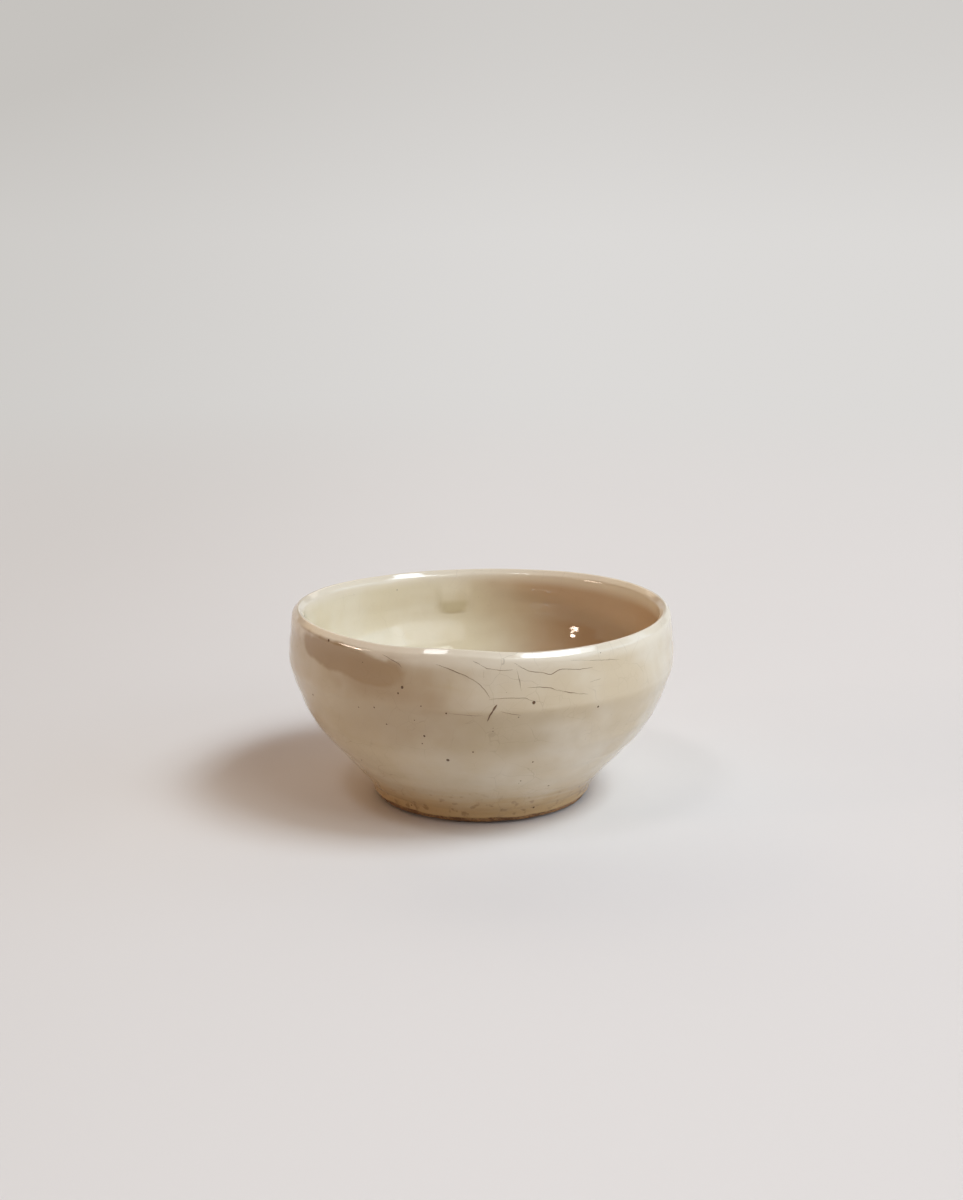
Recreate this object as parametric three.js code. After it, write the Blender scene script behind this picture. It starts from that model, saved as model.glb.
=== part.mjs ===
// Hand-thrown porcelain tea cup without a handle: a thrown bowl, a foot ring luted on
// with slip, and a glaze in three coats. Millimetres, +Z up. The origin is the centre of
// the circle that the foot stands on, and the cup is looked at along +Y.
import * as THREE from 'three';

// Facets round the cup
const SEGMENTS = 48;

// Foot ring, fired clay
const FOOT_HEIGHT = 3.0;
const FOOT_RADIUS = 19.7;
const FOOT_FLARE = 0.65;
const FOOT_WALL = 4.6;
const FOOT_WELL_DRAFT = 0.4;
const BEVEL_WIDTH = 1.9;
const BEVEL_HEIGHT = 0.6;
const ARRIS = 0.3;

// Slip that lutes the foot ring to the bowl
const SLIP_THICKNESS = 0.3;
const SLIP_SPREAD = 0.2;

// Bowl, fired clay. Heights are from the table, and drops are from the top of the lip.
const CLAY_HEIGHT = 35.1;
const BELLY_RADIUS = 34.6;
const BELLY_DROP = 8.4;
const LIP_INSET = 0.5;
const LIP_THICKNESS = 1.9;
const WALL_THICKNESS = 2.9;
const FLOOR_THICKNESS = 3.4;
const TURNED_HEIGHT = 13.05;
const TURNED_INSET = 5.7;
const SOFT_EDGE = THREE.MathUtils.degToRad(3);
const FULLNESS = 0.32;
const HOLLOW_REACH = 1.7;
const HOLLOW_RISE = 2.2;
const WELL_DOME = 0.4;
const FLOOR_SWEEP = 0.9;
const FLOOR_FLAT = 0.4;

// Glaze coats
const GLAZE = 0.4;
const BARE_BAND = 0.15;
const GLAZE_ROLL = 0.5;
const WELL_GLAZE_DEPTH = 1.8;
const LAP_DROP = 3.0;

// Thick run of glaze inside, under the lip at the back
const RUN_TURN = THREE.MathUtils.degToRad(100);
const RUN_WIDTH = 10.5;
const RUN_DROP = 9.4;
const RUN_PROUD = 0.6;

// Unevenness of hand throwing: the plan is slightly oval and the lip dips at two sides
const OVAL = 0.15;
const LIP_DIP = 0.8;
const LIP_HIGH_TURN = THREE.MathUtils.degToRad(20);

// Heights and radii that follow from the sizes above
const seatHeight = FOOT_HEIGHT + SLIP_THICKNESS;
const footTopRadius = FOOT_RADIUS + FOOT_FLARE;
const wellRadius = footTopRadius - FOOT_WALL;
const seatRadius = footTopRadius + SLIP_SPREAD;
const contactOuterRadius = FOOT_RADIUS - BEVEL_WIDTH;
const contactInnerRadius = wellRadius + FOOT_WELL_DRAFT + ARRIS;
const bellyHeight = CLAY_HEIGHT - BELLY_DROP;
const lipHeight = CLAY_HEIGHT - LIP_THICKNESS / 2;
const lipOuterRadius = BELLY_RADIUS - LIP_INSET;
const lipCentreRadius = lipOuterRadius - LIP_THICKNESS / 2;
const floorHeight = seatHeight + WELL_DOME + FLOOR_THICKNESS;

const at = (radius, height) => new THREE.Vector2(radius, height);

// Points of a smooth curve between two places. The handles give the direction in which
// the curve leaves the first place and comes to the second.
function curve(start, startHandle, endHandle, end, steps) {
  return new THREE.CubicBezierCurve(start, startHandle, endHandle, end).getPoints(steps);
}

// Points of half a circle that goes over the lip, from its outer side to its inner side.
function lipArc(steps) {
  const arc = new THREE.EllipseCurve(
    lipCentreRadius, lipHeight, LIP_THICKNESS / 2, LIP_THICKNESS / 2, 0, Math.PI);
  return arc.getPoints(steps);
}

// Moves every point of an outline square to it, by a distance that depends on the
// point's index. Outside is on the right of the way that the outline runs.
function offset(outline, distance) {
  return outline.map((point, index) => {
    const before = outline[Math.max(index - 1, 0)];
    const after = outline[Math.min(index + 1, outline.length - 1)];
    const along = after.clone().sub(before).normalize();
    const outward = at(along.y, -along.x).multiplyScalar(distance(index));
    const moved = point.clone().add(outward);
    moved.x = point.x === 0 ? 0 : moved.x;
    return moved;
  });
}

// Drops each point that repeats the one before it.
const withoutRepeats = (points) =>
  points.filter((point, index) => index === 0 || point.distanceTo(points[index - 1]) > 1e-6);

// Outer side of the foot ring, from the glaze's lower edge up to the luted joint. It is
// upright above the bevel and flares towards the bowl.
function footSide(steps) {
  const glazeEdge = BEVEL_HEIGHT + BARE_BAND;
  const points = [];
  for (let step = 0; step <= steps; step += 1) {
    const height = THREE.MathUtils.lerp(glazeEdge, FOOT_HEIGHT, step / steps);
    const share = (height - BEVEL_HEIGHT) / (FOOT_HEIGHT - BEVEL_HEIGHT);
    points.push(at(FOOT_RADIUS + FOOT_FLARE * share ** 1.5, height));
  }
  return points;
}

// Outer side of the bowl, from the seat on the foot ring up to the lip. The lower wall is
// turned nearly straight, and a soft edge parts it from the thrown curve above.
function bowlSide() {
  const seat = at(seatRadius, seatHeight);
  const hollow = at(seatRadius + HOLLOW_REACH, seatHeight + HOLLOW_RISE);
  const turned = at(BELLY_RADIUS - TURNED_INSET, TURNED_HEIGHT);
  const belly = at(BELLY_RADIUS, bellyHeight);
  const lip = at(lipOuterRadius, lipHeight);
  const turnedWay = turned.clone().sub(hollow).normalize();
  const hollowHandle = hollow.clone().addScaledVector(turnedWay, -HOLLOW_RISE / 2);
  const rise = belly.y - turned.y;
  const shoulderWay = turnedWay.clone().rotateAround(at(0, 0), SOFT_EDGE);
  const turnedHandle = turned.clone().addScaledVector(shoulderWay, rise * FULLNESS);
  const bellyHandle = at(belly.x, belly.y - rise * FULLNESS);
  const aboveBelly = (lip.y - belly.y) / 3;
  return {
    lower: [
      ...curve(seat, seat.clone().lerp(hollowHandle, 0.5), hollowHandle, hollow, 2),
      hollow.clone().lerp(turned, 0.5),
    ],
    upper: [
      ...curve(turned, turnedHandle, bellyHandle, belly, 5),
      ...curve(belly, at(belly.x, belly.y + aboveBelly), at(lip.x, lip.y - aboveBelly), lip, 2),
    ],
  };
}

// Inner side of the bowl, from the lip down to the middle of the floor. It keeps the
// wall's thickness down to the turned part and then sweeps in over the floor.
function bowlInside(upper) {
  const last = upper.length - 1;
  const taper = (index) => THREE.MathUtils.lerp(-WALL_THICKNESS, -LIP_THICKNESS, index / last);
  const wall = offset(upper, taper).reverse();
  wall[0] = at(lipOuterRadius - LIP_THICKNESS, lipHeight);
  const start = wall[wall.length - 1];
  const way = start.clone().sub(wall[wall.length - 2]).normalize();
  const startHandle = start.clone().addScaledVector(way, (start.y - floorHeight) * FLOOR_SWEEP);
  const middle = at(0, floorHeight);
  const floor = curve(start, startHandle, at(start.x * FLOOR_FLAT, floorHeight), middle, 6);
  return [...wall, ...floor];
}

// Underside of the bowl inside the foot ring, from the seat in to the middle
function domedCeiling(steps) {
  const points = [];
  for (let step = 0; step <= steps; step += 1) {
    const share = 1 - step / steps;
    points.push(at(wellRadius * share, seatHeight + WELL_DOME * (1 - share ** 2)));
  }
  return points;
}

// Adds to an outline the point where it sinks past a height, and returns its index.
function cutAt(outline, height) {
  const below = outline.findIndex((point) => point.y < height);
  const [upper, lower] = [outline[below - 1], outline[below]];
  const share = (upper.y - height) / (upper.y - lower.y);
  outline.splice(below, 0, upper.clone().lerp(lower, share));
  return below;
}

// The clay outlines that the pieces share
const footOutside = footSide(3);
const bowl = bowlSide();
const bowlUpper = withoutRepeats(bowl.upper);
const bowlOutside = [...bowl.lower, ...bowlUpper];
const bowlHollow = withoutRepeats([...lipArc(4).slice(1), ...bowlInside(bowlUpper)]);
const lapInHollow = cutAt(bowlHollow, CLAY_HEIGHT - LAP_DROP);
const wellCeiling = domedCeiling(3);
const wellSide = [
  at(wellRadius + FOOT_WELL_DRAFT * WELL_GLAZE_DEPTH / FOOT_HEIGHT, FOOT_HEIGHT - WELL_GLAZE_DEPTH),
  at(wellRadius, FOOT_HEIGHT),
];

// Everything that the outer coat and the lining lie on, in one outline from the foot over
// the lip to the middle of the floor, and the glaze's own face over it. The outer coat
// ends in a rolled edge on the foot.
const glazedClay = [...footOutside, ...bowlOutside, ...bowlHollow];
const rolledEdge = (index) => {
  const fromEdge = Math.min(glazedClay[index].distanceTo(glazedClay[0]) / GLAZE_ROLL, 1);
  return GLAZE * Math.sqrt(1 - (1 - fromEdge) ** 2);
};
const glazeFace = offset(glazedClay, rolledEdge);
const lap = footOutside.length + bowlOutside.length + lapInHollow;

// Smooth step from 0 to 1 as the height goes from the foot to the lip
const riseOf = (height) => THREE.MathUtils.smoothstep(height, seatHeight, CLAY_HEIGHT);

// Gives a true turned point the unevenness of hand throwing. The foot stays true.
function handThrown(point) {
  const rise = riseOf(point.z);
  const turn = Math.atan2(point.y, point.x);
  const widening = 1 + rise * OVAL * Math.cos(2 * turn) / BELLY_RADIUS;
  const dip = rise * LIP_DIP * Math.sin(turn - LIP_HIGH_TURN) ** 2;
  return point.set(point.x * widening, point.y * widening, point.z - dip);
}

// Thickens the lining's face where the run of glaze hangs under the lip.
function withRun(point) {
  const radius = Math.hypot(point.x, point.y);
  const across = (Math.atan2(point.y, point.x) - RUN_TURN) * radius / (RUN_WIDTH / 2);
  const down = (CLAY_HEIGHT - LAP_DROP - point.z) / (RUN_DROP - LAP_DROP);
  if (Math.abs(across) >= 1 || down <= 0 || down >= 1) {
    return point;
  }
  const proud = RUN_PROUD * (1 - across ** 2) * Math.sin(Math.PI * down);
  const inward = 1 - proud / radius;
  return point.set(point.x * inward, point.y * inward, point.z);
}

// Splits a turned piece's four-sided facets. Two pieces that touch run their shared
// outline in opposite ways, so each facet is split along the diagonal that starts at its
// lower edge, and both pieces then have the same triangles.
function splitFacets(lathe, profile) {
  const count = profile.length;
  const triangles = [];
  for (let segment = 0; segment < SEGMENTS; segment += 1) {
    for (let step = 0; step < count - 1; step += 1) {
      const a = segment * count + step;
      const b = a + count;
      const [here, next] = [profile[step], profile[step + 1]];
      const falls = next.y < here.y || (next.y === here.y && next.x < here.x);
      const pair = falls ? [a, b, b + 1, a, b + 1, a + 1] : [a, b, a + 1, b, b + 1, a + 1];
      triangles.push(...pair);
    }
  }
  lathe.setIndex(triangles);
}

// A piece turned round the Z axis from its outline. reshape may move the points of the
// outline's steps that isFace picks.
function turned(name, profile, material, reshape = null, isFace = () => false) {
  const lathe = new THREE.LatheGeometry(profile, SEGMENTS);
  splitFacets(lathe, profile);
  lathe.rotateX(Math.PI / 2);
  const position = lathe.getAttribute('position');
  const point = new THREE.Vector3();
  for (let index = 0; index < position.count; index += 1) {
    point.fromBufferAttribute(position, index);
    if (reshape && isFace(index % profile.length)) {
      reshape(point);
    }
    handThrown(point);
    position.setXYZ(index, point.x, point.y, point.z);
  }
  lathe.computeVertexNormals();
  const mesh = new THREE.Mesh(lathe, material);
  mesh.name = name;
  return mesh;
}

const finish = (color, roughness) =>
  new THREE.MeshStandardMaterial({ color, roughness, metalness: 0 });

// Thrown and turned bowl
function bowlBody() {
  const underside = [...wellCeiling].reverse();
  const profile = [...underside, ...bowlOutside, ...bowlHollow];
  return turned('bowl_body', profile, finish('#e4dcc9', 0.8));
}

// Foot ring, flat where it stands, bevelled outside and bare below the glaze
function footRing() {
  const bevel = new THREE.EllipseCurve(
    contactOuterRadius, BEVEL_HEIGHT, BEVEL_WIDTH, BEVEL_HEIGHT, -Math.PI / 2, 0);
  const profile = [
    at(contactInnerRadius, 0),
    ...bevel.getPoints(3),
    ...footOutside,
    at(wellRadius, FOOT_HEIGHT),
    wellSide[0],
    at(wellRadius + FOOT_WELL_DRAFT, ARRIS),
    at(contactInnerRadius, 0),
  ];
  return turned('foot_ring', profile, finish('#a98b68', 0.85));
}

// Layer of slip in the joint between the bowl and the foot ring
function footSlip() {
  const profile = [
    at(wellRadius, FOOT_HEIGHT),
    at(footTopRadius, FOOT_HEIGHT),
    at(seatRadius, seatHeight),
    at(wellRadius, seatHeight),
    at(wellRadius, FOOT_HEIGHT),
  ];
  return turned('foot_slip', profile, finish('#d6cab3', 0.85));
}

// Dipped coat, from the foot over the lip and a little way down inside
function outerGlaze() {
  const face = glazeFace.slice(0, lap + 1);
  const back = glazedClay.slice(0, lap + 1).reverse();
  return turned('outer_glaze', withoutRepeats([...face, ...back]), finish('#ddd3ba', 0.15));
}

// Poured lining, from the outer coat's edge down over the floor, with the run in it
function innerGlaze() {
  const back = glazedClay.slice(lap).reverse();
  const face = glazeFace.slice(lap);
  const isFace = (step) => step > back.length;
  return turned('inner_glaze', [...back, ...face], finish('#e0d8c2', 0.15), withRun, isFace);
}

// Glaze in the foot's well, over the underside of the bowl and the slip, and down the
// ring's inner side to a thin edge
function footWellGlaze() {
  const [edge] = wellSide;
  const shoulder = at(edge.x - GLAZE, edge.y + GLAZE_ROLL);
  const corner = at(wellRadius - GLAZE, seatHeight - GLAZE);
  const ceiling = offset(wellCeiling, () => -GLAZE).slice(1).reverse();
  const profile = [...ceiling, corner, shoulder, ...wellSide, ...wellCeiling];
  return turned('foot_well_glaze', profile, finish('#d8ceb4', 0.15));
}

const cup = new THREE.Group();
cup.name = 'porcelain_tea_cup';
cup.add(bowlBody(), footSlip(), footRing(), outerGlaze(), innerGlaze(), footWellGlaze());

export default cup;
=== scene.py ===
"""Porcelain tea cup without a handle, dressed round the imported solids.

Laid out as an add-on: each operator makes one piece, or one group of like pieces.
Metres, +Z up. The cup stands on the floor at the origin and is looked at along +Y.
"""

import math

import bpy
from bpy.props import FloatProperty, FloatVectorProperty, IntProperty, PointerProperty
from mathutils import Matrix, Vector
from mathutils.geometry import interpolate_bezier


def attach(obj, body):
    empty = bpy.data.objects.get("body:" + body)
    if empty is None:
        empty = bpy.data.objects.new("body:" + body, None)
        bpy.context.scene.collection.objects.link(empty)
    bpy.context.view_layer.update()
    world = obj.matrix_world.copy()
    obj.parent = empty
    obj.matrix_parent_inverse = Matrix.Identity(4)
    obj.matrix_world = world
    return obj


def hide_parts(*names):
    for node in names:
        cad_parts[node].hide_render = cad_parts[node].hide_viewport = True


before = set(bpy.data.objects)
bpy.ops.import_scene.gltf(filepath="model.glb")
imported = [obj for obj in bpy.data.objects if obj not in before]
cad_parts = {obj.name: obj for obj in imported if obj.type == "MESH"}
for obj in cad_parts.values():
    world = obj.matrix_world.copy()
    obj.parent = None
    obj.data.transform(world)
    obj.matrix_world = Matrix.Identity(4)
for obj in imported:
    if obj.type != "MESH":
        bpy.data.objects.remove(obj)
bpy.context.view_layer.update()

bl_info = {
    "name": "Porcelain tea cup",
    "version": (1, 0, 0),
    "blender": (4, 5, 0),
    "location": "3D View > Sidebar > Tea cup",
    "description": "Makes a hand-thrown porcelain tea cup with a crackled cream glaze",
    "category": "Object",
}

BODY = "root"
MM = 0.001
WELD = 1e-6
SEGMENTS = 288              # Steps round the pieces that show
PLAIN_SEGMENTS = 144        # Steps round the pieces that show little
GLAZE_IOR = 1.56
CLAY_IOR = 1.5
STILL_CENTRE = 12 * MM      # Radius inside which the dip of the lip fades away
WAVE_WIDTH = 18 * MM        # Width of the wall's slow waves
LINING_EDGE = 1.5 * MM      # Height over which the outer coat gives way to the lining
EDGE_WANDER = 0.9 * MM      # How far the glaze's edge wanders up the foot
EDGE_POINTS = 5             # Points at that edge over which the waves of the wall fade in


# Small helpers

def linear(hex_colour):
    """The linear red, green and blue of an sRGB colour that is written as hex digits."""
    shares = [int(hex_colour[place:place + 2], 16) / 255 for place in (1, 3, 5)]
    return [share / 12.92 if share <= 0.04045 else ((share + 0.055) / 1.055) ** 2.4
            for share in shares]


def length(name, millimetres, description):
    """A size that a user may change."""
    return FloatProperty(name=name, description=description, default=millimetres * MM,
                         unit="LENGTH", precision=5, min=0.0)


def angle(name, degrees, description):
    """An angle that a user may change."""
    return FloatProperty(name=name, description=description, default=math.radians(degrees),
                         subtype="ANGLE")


def colour(name, hex_colour, description):
    """A colour that a user may change."""
    return FloatVectorProperty(name=name, description=description, size=3, min=0.0, max=1.0,
                               default=linear(hex_colour), subtype="COLOR")


def add_node(tree, kind, inputs=None, **settings):
    """Adds a node with its settings, and links or sets its inputs by name or index."""
    node = tree.nodes.new(kind)
    for setting, value in settings.items():
        setattr(node, setting, value)
    for key, value in (inputs or {}).items():
        if isinstance(key, str):
            socket = next(s for s in node.inputs if s.name == key and s.enabled)
        else:
            socket = [s for s in node.inputs if s.enabled][key]
        if isinstance(value, bpy.types.NodeSocket):
            tree.links.new(value, socket)
        else:
            socket.default_value = value
    return next(s for s in node.outputs if s.enabled) if node.outputs else node


# Sizes and colours that a user may change

class CupSizes(bpy.types.PropertyGroup):
    """Sizes of the cup. They are the sizes of the solids that the looks are made round."""

    foot_height: length("Foot height", 3.0, "From the table to the luted joint")
    foot_radius: length("Foot radius", 19.7, "Outer radius of the foot ring above its bevel")
    foot_flare: length("Foot flare", 0.65, "How far the ring widens towards the bowl")
    foot_wall: length("Foot wall", 4.6, "Width of the ring at the joint")
    well_draft: length("Well draft", 0.4, "How far the well widens towards the table")
    bevel_width: length("Bevel width", 1.9, "Width of the rounding under the foot")
    bevel_height: length("Bevel height", 0.6, "Height of the rounding under the foot")
    arris: length("Arris", 0.3, "Small bevel between the well and the contact face")
    slip_thickness: length("Slip thickness", 0.3, "Slip in the joint under the bowl")
    slip_spread: length("Slip spread", 0.2, "How far the slip widens the joint")
    clay_height: length("Clay height", 35.1, "From the table to the top of the clay lip")
    belly_radius: length("Belly radius", 34.6, "Widest radius of the clay")
    belly_drop: length("Belly drop", 8.4, "From the top of the lip down to the belly")
    lip_inset: length("Lip inset", 0.5, "How far the lip leans in from the belly")
    lip_thickness: length("Lip thickness", 1.9, "Clay at the lip")
    wall_thickness: length("Wall thickness", 2.9, "Clay at the turned part of the wall")
    floor_thickness: length("Floor thickness", 3.4, "Clay at the middle of the floor")
    turned_height: length("Turned height", 13.05, "Top of the turned lower wall")
    turned_inset: length("Turned inset", 5.7, "From the belly in to that line")
    soft_edge: angle("Soft edge", 3.0, "How far the wall bends at that line")
    fullness: FloatProperty(name="Fullness", default=0.32, min=0.0, max=1.0, subtype="FACTOR",
                            description="How full the thrown curve is below the belly")
    hollow_reach: length("Hollow reach", 1.7, "Width of the hollow above the foot")
    hollow_rise: length("Hollow rise", 2.2, "Height of the hollow above the foot")
    well_dome: length("Well dome", 0.4, "Rise of the underside inside the foot")
    floor_sweep: FloatProperty(name="Floor sweep", default=0.9, min=0.0, subtype="FACTOR",
                               description="How far the wall runs on before it turns in")
    floor_flat: FloatProperty(name="Floor flat", default=0.4, min=0.0, max=1.0,
                              subtype="FACTOR", description="Share of the floor that is flat")
    glaze: length("Glaze", 0.4, "Thickness of each coat of glaze")
    bare_band: length("Bare band", 0.15, "Bare clay between the bevel and the glaze")
    glaze_roll: length("Glaze roll", 0.5, "Length over which the glaze's edge rolls off")
    well_glaze_depth: length("Well glaze depth", 1.8, "Glaze on the inner side of the ring")
    run_turn: angle("Run turn", 100.0, "Where the run of glaze hangs, from +X")
    run_width: length("Run width", 7.6, "Width of the run of glaze inside")
    run_top: length("Run top", 1.8, "From the top of the lip down to the run")
    run_bottom: length("Run bottom", 8.5, "From the top of the lip down to the run's end")
    run_proud: length("Run thickness", 0.75, "How proud the run of glaze stands")
    oval: length("Oval", 0.15, "How far the plan is drawn out along X")
    lip_dip: length("Lip dip", 0.8, "How far the lip dips at two sides")
    lip_high_turn: angle("Lip high turn", 20.0, "Where the lip stays high, from +X")
    facet_low: length("Facet foot", 17.6, "Lower edge of the flat band below the belly")
    facet_high: length("Facet top", 25.4, "Upper edge of the flat band below the belly")
    facet_depth: length("Facet depth", 0.22, "How far that band is cut into the curve")
    facet_soft: length("Facet softness", 0.6, "Width over which the band's edges are soft")
    lip_roll: length("Lip roll", 3.7, "From the lip's crest down to the plain wall")
    lip_wiped: length("Wiped lip", 0.67, "From the crest down to the end of the wiped bevel")
    lip_bevel: FloatProperty(name="Lip bevel", default=0.29, min=0.0, max=0.9,
                             subtype="FACTOR",
                             description="Share of the half lip that the bevel takes off")
    swell: length("Lip swell", 0.55, "How much higher the lip stands at its swell")
    swell_turn: angle("Swell turn", 262, "Where the lip swells, turned from +X")
    swell_width: angle("Swell width", 24, "Half the width of the swell")
    ripple: length("Throwing ripple", 0.05, "Depth of the ridges that the fingers leave")
    ripple_pitch: length("Ripple pitch", 3.6, "Distance between those ridges")
    unevenness: length("Unevenness", 0.16, "Depth of the slow waves in the glaze")
    crackle_cell: length("Crackle cell", 4.6, "Width of the crackle's cells")
    crackle_line: length("Crackle line", 0.09,
                         "Width of a crackle line, wider than a real one, so that it shows")
    speck_seed: IntProperty(name="Speck seed", description="Which random specks there are",
                            default=7, min=0)


class CupColours(bpy.types.PropertyGroup):
    """Colours of the cup's finishes and of the table that it stands on."""

    glaze_cream: colour("Glaze, cream", "#DCD2BF", "Glaze over the white body")
    glaze_warm: colour("Glaze, warm", "#D0C0A4", "Thicker, warmer patches of the glaze")
    glaze_olive: colour("Glaze, pooled", "#C6BA94", "Glaze where it is thickest")
    # Partly painted light: thin glaze over the lip, and the lip's top painted lighter where it
    # faces the light
    glaze_lip_thin_and_lit: colour("Glaze, lip", "#E6DDCB", "Glaze where it is thin over the lip")
    glaze_foot: colour("Glaze, foot", "#BC9C6C", "Thin glaze on the foot, with clay through it")
    # Painted shade: patches under the lip on the left front
    glaze_shade_patch: colour("Glaze, toasted", "#A28661", "A patch that the flame has darkened")
    # Painted shade on the outside's left and on the band below the belly, which faces down
    glaze_painted_shade: colour("Glaze, thin", "#BBA98A", "The band that the fingers left thinly glazed")
    lining_cream: colour("Lining, cream", "#E6DEC8", "The glaze that was poured inside")
    lining_warm: colour("Lining, warm", "#E1D7BC", "Thicker, warmer patches of the lining")
    # Painted shade: the lining's right side, where the rim's shadow falls
    lining_shade: colour("Lining, brown", "#B89572", "The lining on the side that the flame met")
    crackle_stain: colour("Crackle stain", "#66503A", "Tea stain in the crackle lines")
    iron: colour("Iron speck", "#2E2118", "Iron specks burnt out of the clay")
    clay_toasted: colour("Toasted clay", "#B58C5E", "Bare clay that the kiln has toasted")
    clay_dark: colour("Clay, dark grit", "#77573A", "Dark grit and soil at the foot's edge")
    clay_white: colour("Porcelain body", "#E4DCC9", "Fired porcelain under the glaze")
    slip_cream: colour("Slip", "#D6CAB3", "Fired slip in the joint")
    paper: colour("Paper", "#E4E2E1", "Pale floor under the cup")
    paper_tooth: colour("Paper, tooth", "#CBC8C4", "The faint clouds in the paper")
    paper_far: colour("Paper, far", "#DEDCDA", "The floor as it is seen far behind the cup")
    # Also painted shade on the near paper to the left of the cup
    paper_dim: colour("Paper, dim", "#C6C3BF", "The far floor on the side away from the window")


# Outlines. A place on an outline is (radius, 0, height).

def spot(radius, height):
    """A place on an outline."""
    return Vector((radius, 0.0, height))


def bezier(start, start_handle, end_handle, end, steps):
    """Points of a curve, with both its ends."""
    return interpolate_bezier(start, start_handle, end_handle, end, steps + 1)


def between(start, end, steps):
    """Points of a straight stretch, without its first one."""
    return [start.lerp(end, step / steps) for step in range(1, steps + 1)]


def offset(outline, distance):
    """Moves every point square to the outline. Outside is on the right of its run."""
    moved = []
    for index, point in enumerate(outline):
        before = outline[max(index - 1, 0)]
        after = outline[min(index + 1, len(outline) - 1)]
        along = (after - before).normalized()
        place = point + spot(along.z, -along.x) * distance(index)
        place.x = 0.0 if point.x == 0 else place.x
        moved.append(place)
    return moved


def without_repeats(points):
    """The points of an outline without those that lie on the one before."""
    kept = points[:1]
    for point in points[1:]:
        if (point - kept[-1]).length > WELD:
            kept.append(point)
    return kept


def seat_height(s):
    """Height at which the bowl sits on the slip."""
    return s.foot_height + s.slip_thickness


def well_radius(s):
    """Inner radius of the foot ring at the joint."""
    return s.foot_radius + s.foot_flare - s.foot_wall


def foot_side(s, steps=12):
    """Outer side of the foot ring, from the glaze's lower edge up to the joint."""
    low = s.bevel_height + s.bare_band
    side = []
    for step in range(steps + 1):
        height = low + (s.foot_height - low) * step / steps
        share = (height - s.bevel_height) / (s.foot_height - s.bevel_height)
        side.append(spot(s.foot_radius + s.foot_flare * share ** 1.5, height))
    return side


def facet(s, height):
    """Depth of the flat band below the belly: a chord across the curve, softly edged."""
    total = 0.0
    samples = 5
    for sample in range(samples):
        shift = (sample / (samples - 1) - 0.5) * s.facet_soft
        share = (height + shift - s.facet_low) / (s.facet_high - s.facet_low)
        total += max(0.0, 4 * share * (1 - share))
    return s.facet_depth * total / samples


def lip_section(s):
    """Half of the lip's section: share of its half width, and the drop from its crest.

    A tight crest, a bevel that a finger has wiped, and a slow curve into the wall. The
    handles are shares of the bevel, so that the three stretches run into each other.
    """
    crest, shoulder = spot(0, 0), spot(0.1, s.lip_wiped * 0.07)
    heel, wall = spot(1 - s.lip_bevel, s.lip_wiped), spot(1, s.lip_roll)
    bevel = heel - shoulder
    return [*bezier(crest, spot(0.05, 0), shoulder - bevel * 0.06, shoulder, 6),
            *bezier(shoulder, shoulder + bevel * 0.35, heel - bevel * 0.3, heel, 10),
            *bezier(heel, heel + bevel * 0.35, spot(1, s.lip_roll * 0.6), wall, 14)]


def lip_share(s, height):
    """Share of the lip's half width that is left at a height."""
    drop = s.clay_height - height
    if drop >= s.lip_roll:
        return 1.0
    section = without_repeats(lip_section(s))
    for above, below in zip(section, section[1:]):
        if below.z >= drop:
            part = max(0.0, (drop - above.z) / (below.z - above.z))
            return above.x + (below.x - above.x) * part
    return 1.0


def bowl_outside(s):
    """Outer side of the clay bowl: the turned lower wall, and the thrown wall above it."""
    seat = spot(s.foot_radius + s.foot_flare + s.slip_spread, seat_height(s))
    hollow = seat + spot(s.hollow_reach, s.hollow_rise)
    turned = spot(s.belly_radius - s.turned_inset, s.turned_height)
    belly = spot(s.belly_radius, s.clay_height - s.belly_drop)
    lip = spot(s.belly_radius - s.lip_inset, s.clay_height - s.lip_thickness / 2)
    way = (turned - hollow).normalized()
    hollow_handle = hollow - way * s.hollow_rise / 2
    rise = belly.z - turned.z
    bend = s.soft_edge
    bent = spot(way.x * math.cos(bend) - way.z * math.sin(bend),
                way.x * math.sin(bend) + way.z * math.cos(bend))
    above = (lip.z - belly.z) / 3
    lower = [
        *bezier(seat, seat.lerp(hollow_handle, 0.5), hollow_handle, hollow, 10),
        *between(hollow, turned, 26)[:-1],
    ]
    upper = [
        *bezier(turned, turned + bent * rise * s.fullness,
                belly - spot(0, rise * s.fullness), belly, 50),
        *bezier(belly, belly + spot(0, above), lip - spot(0, above), lip, 20),
    ]
    return lower, without_repeats(upper)


def bowl_hollow(s, upper):
    """Inner side of the clay bowl, from the lip to the middle of the floor."""
    half = s.lip_thickness / 2
    centre = spot(s.belly_radius - s.lip_inset - half, s.clay_height - half)
    arc_steps = 44
    arc = []
    for step in range(1, arc_steps + 1):
        turn = math.pi * step / arc_steps
        height = centre.z + half * math.sin(turn)
        side = math.copysign(half * lip_share(s, height), math.cos(turn))
        arc.append(spot(centre.x + side, height))
    last = len(upper) - 1
    wall = offset(upper, lambda index: -(s.wall_thickness
                                         + (s.lip_thickness - s.wall_thickness) * index / last))
    wall.reverse()
    wall = [spot(centre.x + (point.x - centre.x) * lip_share(s, point.z), point.z)
            for point in wall]
    wall[0] = arc[-1]
    start = wall[-1]
    way = (start - wall[-2]).normalized()
    floor_height = seat_height(s) + s.well_dome + s.floor_thickness
    floor = bezier(start, start + way * (start.z - floor_height) * s.floor_sweep,
                   spot(start.x * s.floor_flat, floor_height), spot(0, floor_height), 44)
    return without_repeats([*arc, *wall, *floor])


def well_ceiling(s, steps=24):
    """Underside of the bowl inside the foot ring, from the ring in to the middle."""
    ceiling = []
    for step in range(steps + 1):
        share = 1 - step / steps
        rise = s.well_dome * (1 - share ** 2)
        ceiling.append(spot(well_radius(s) * share, seat_height(s) + rise))
    return ceiling


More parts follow.
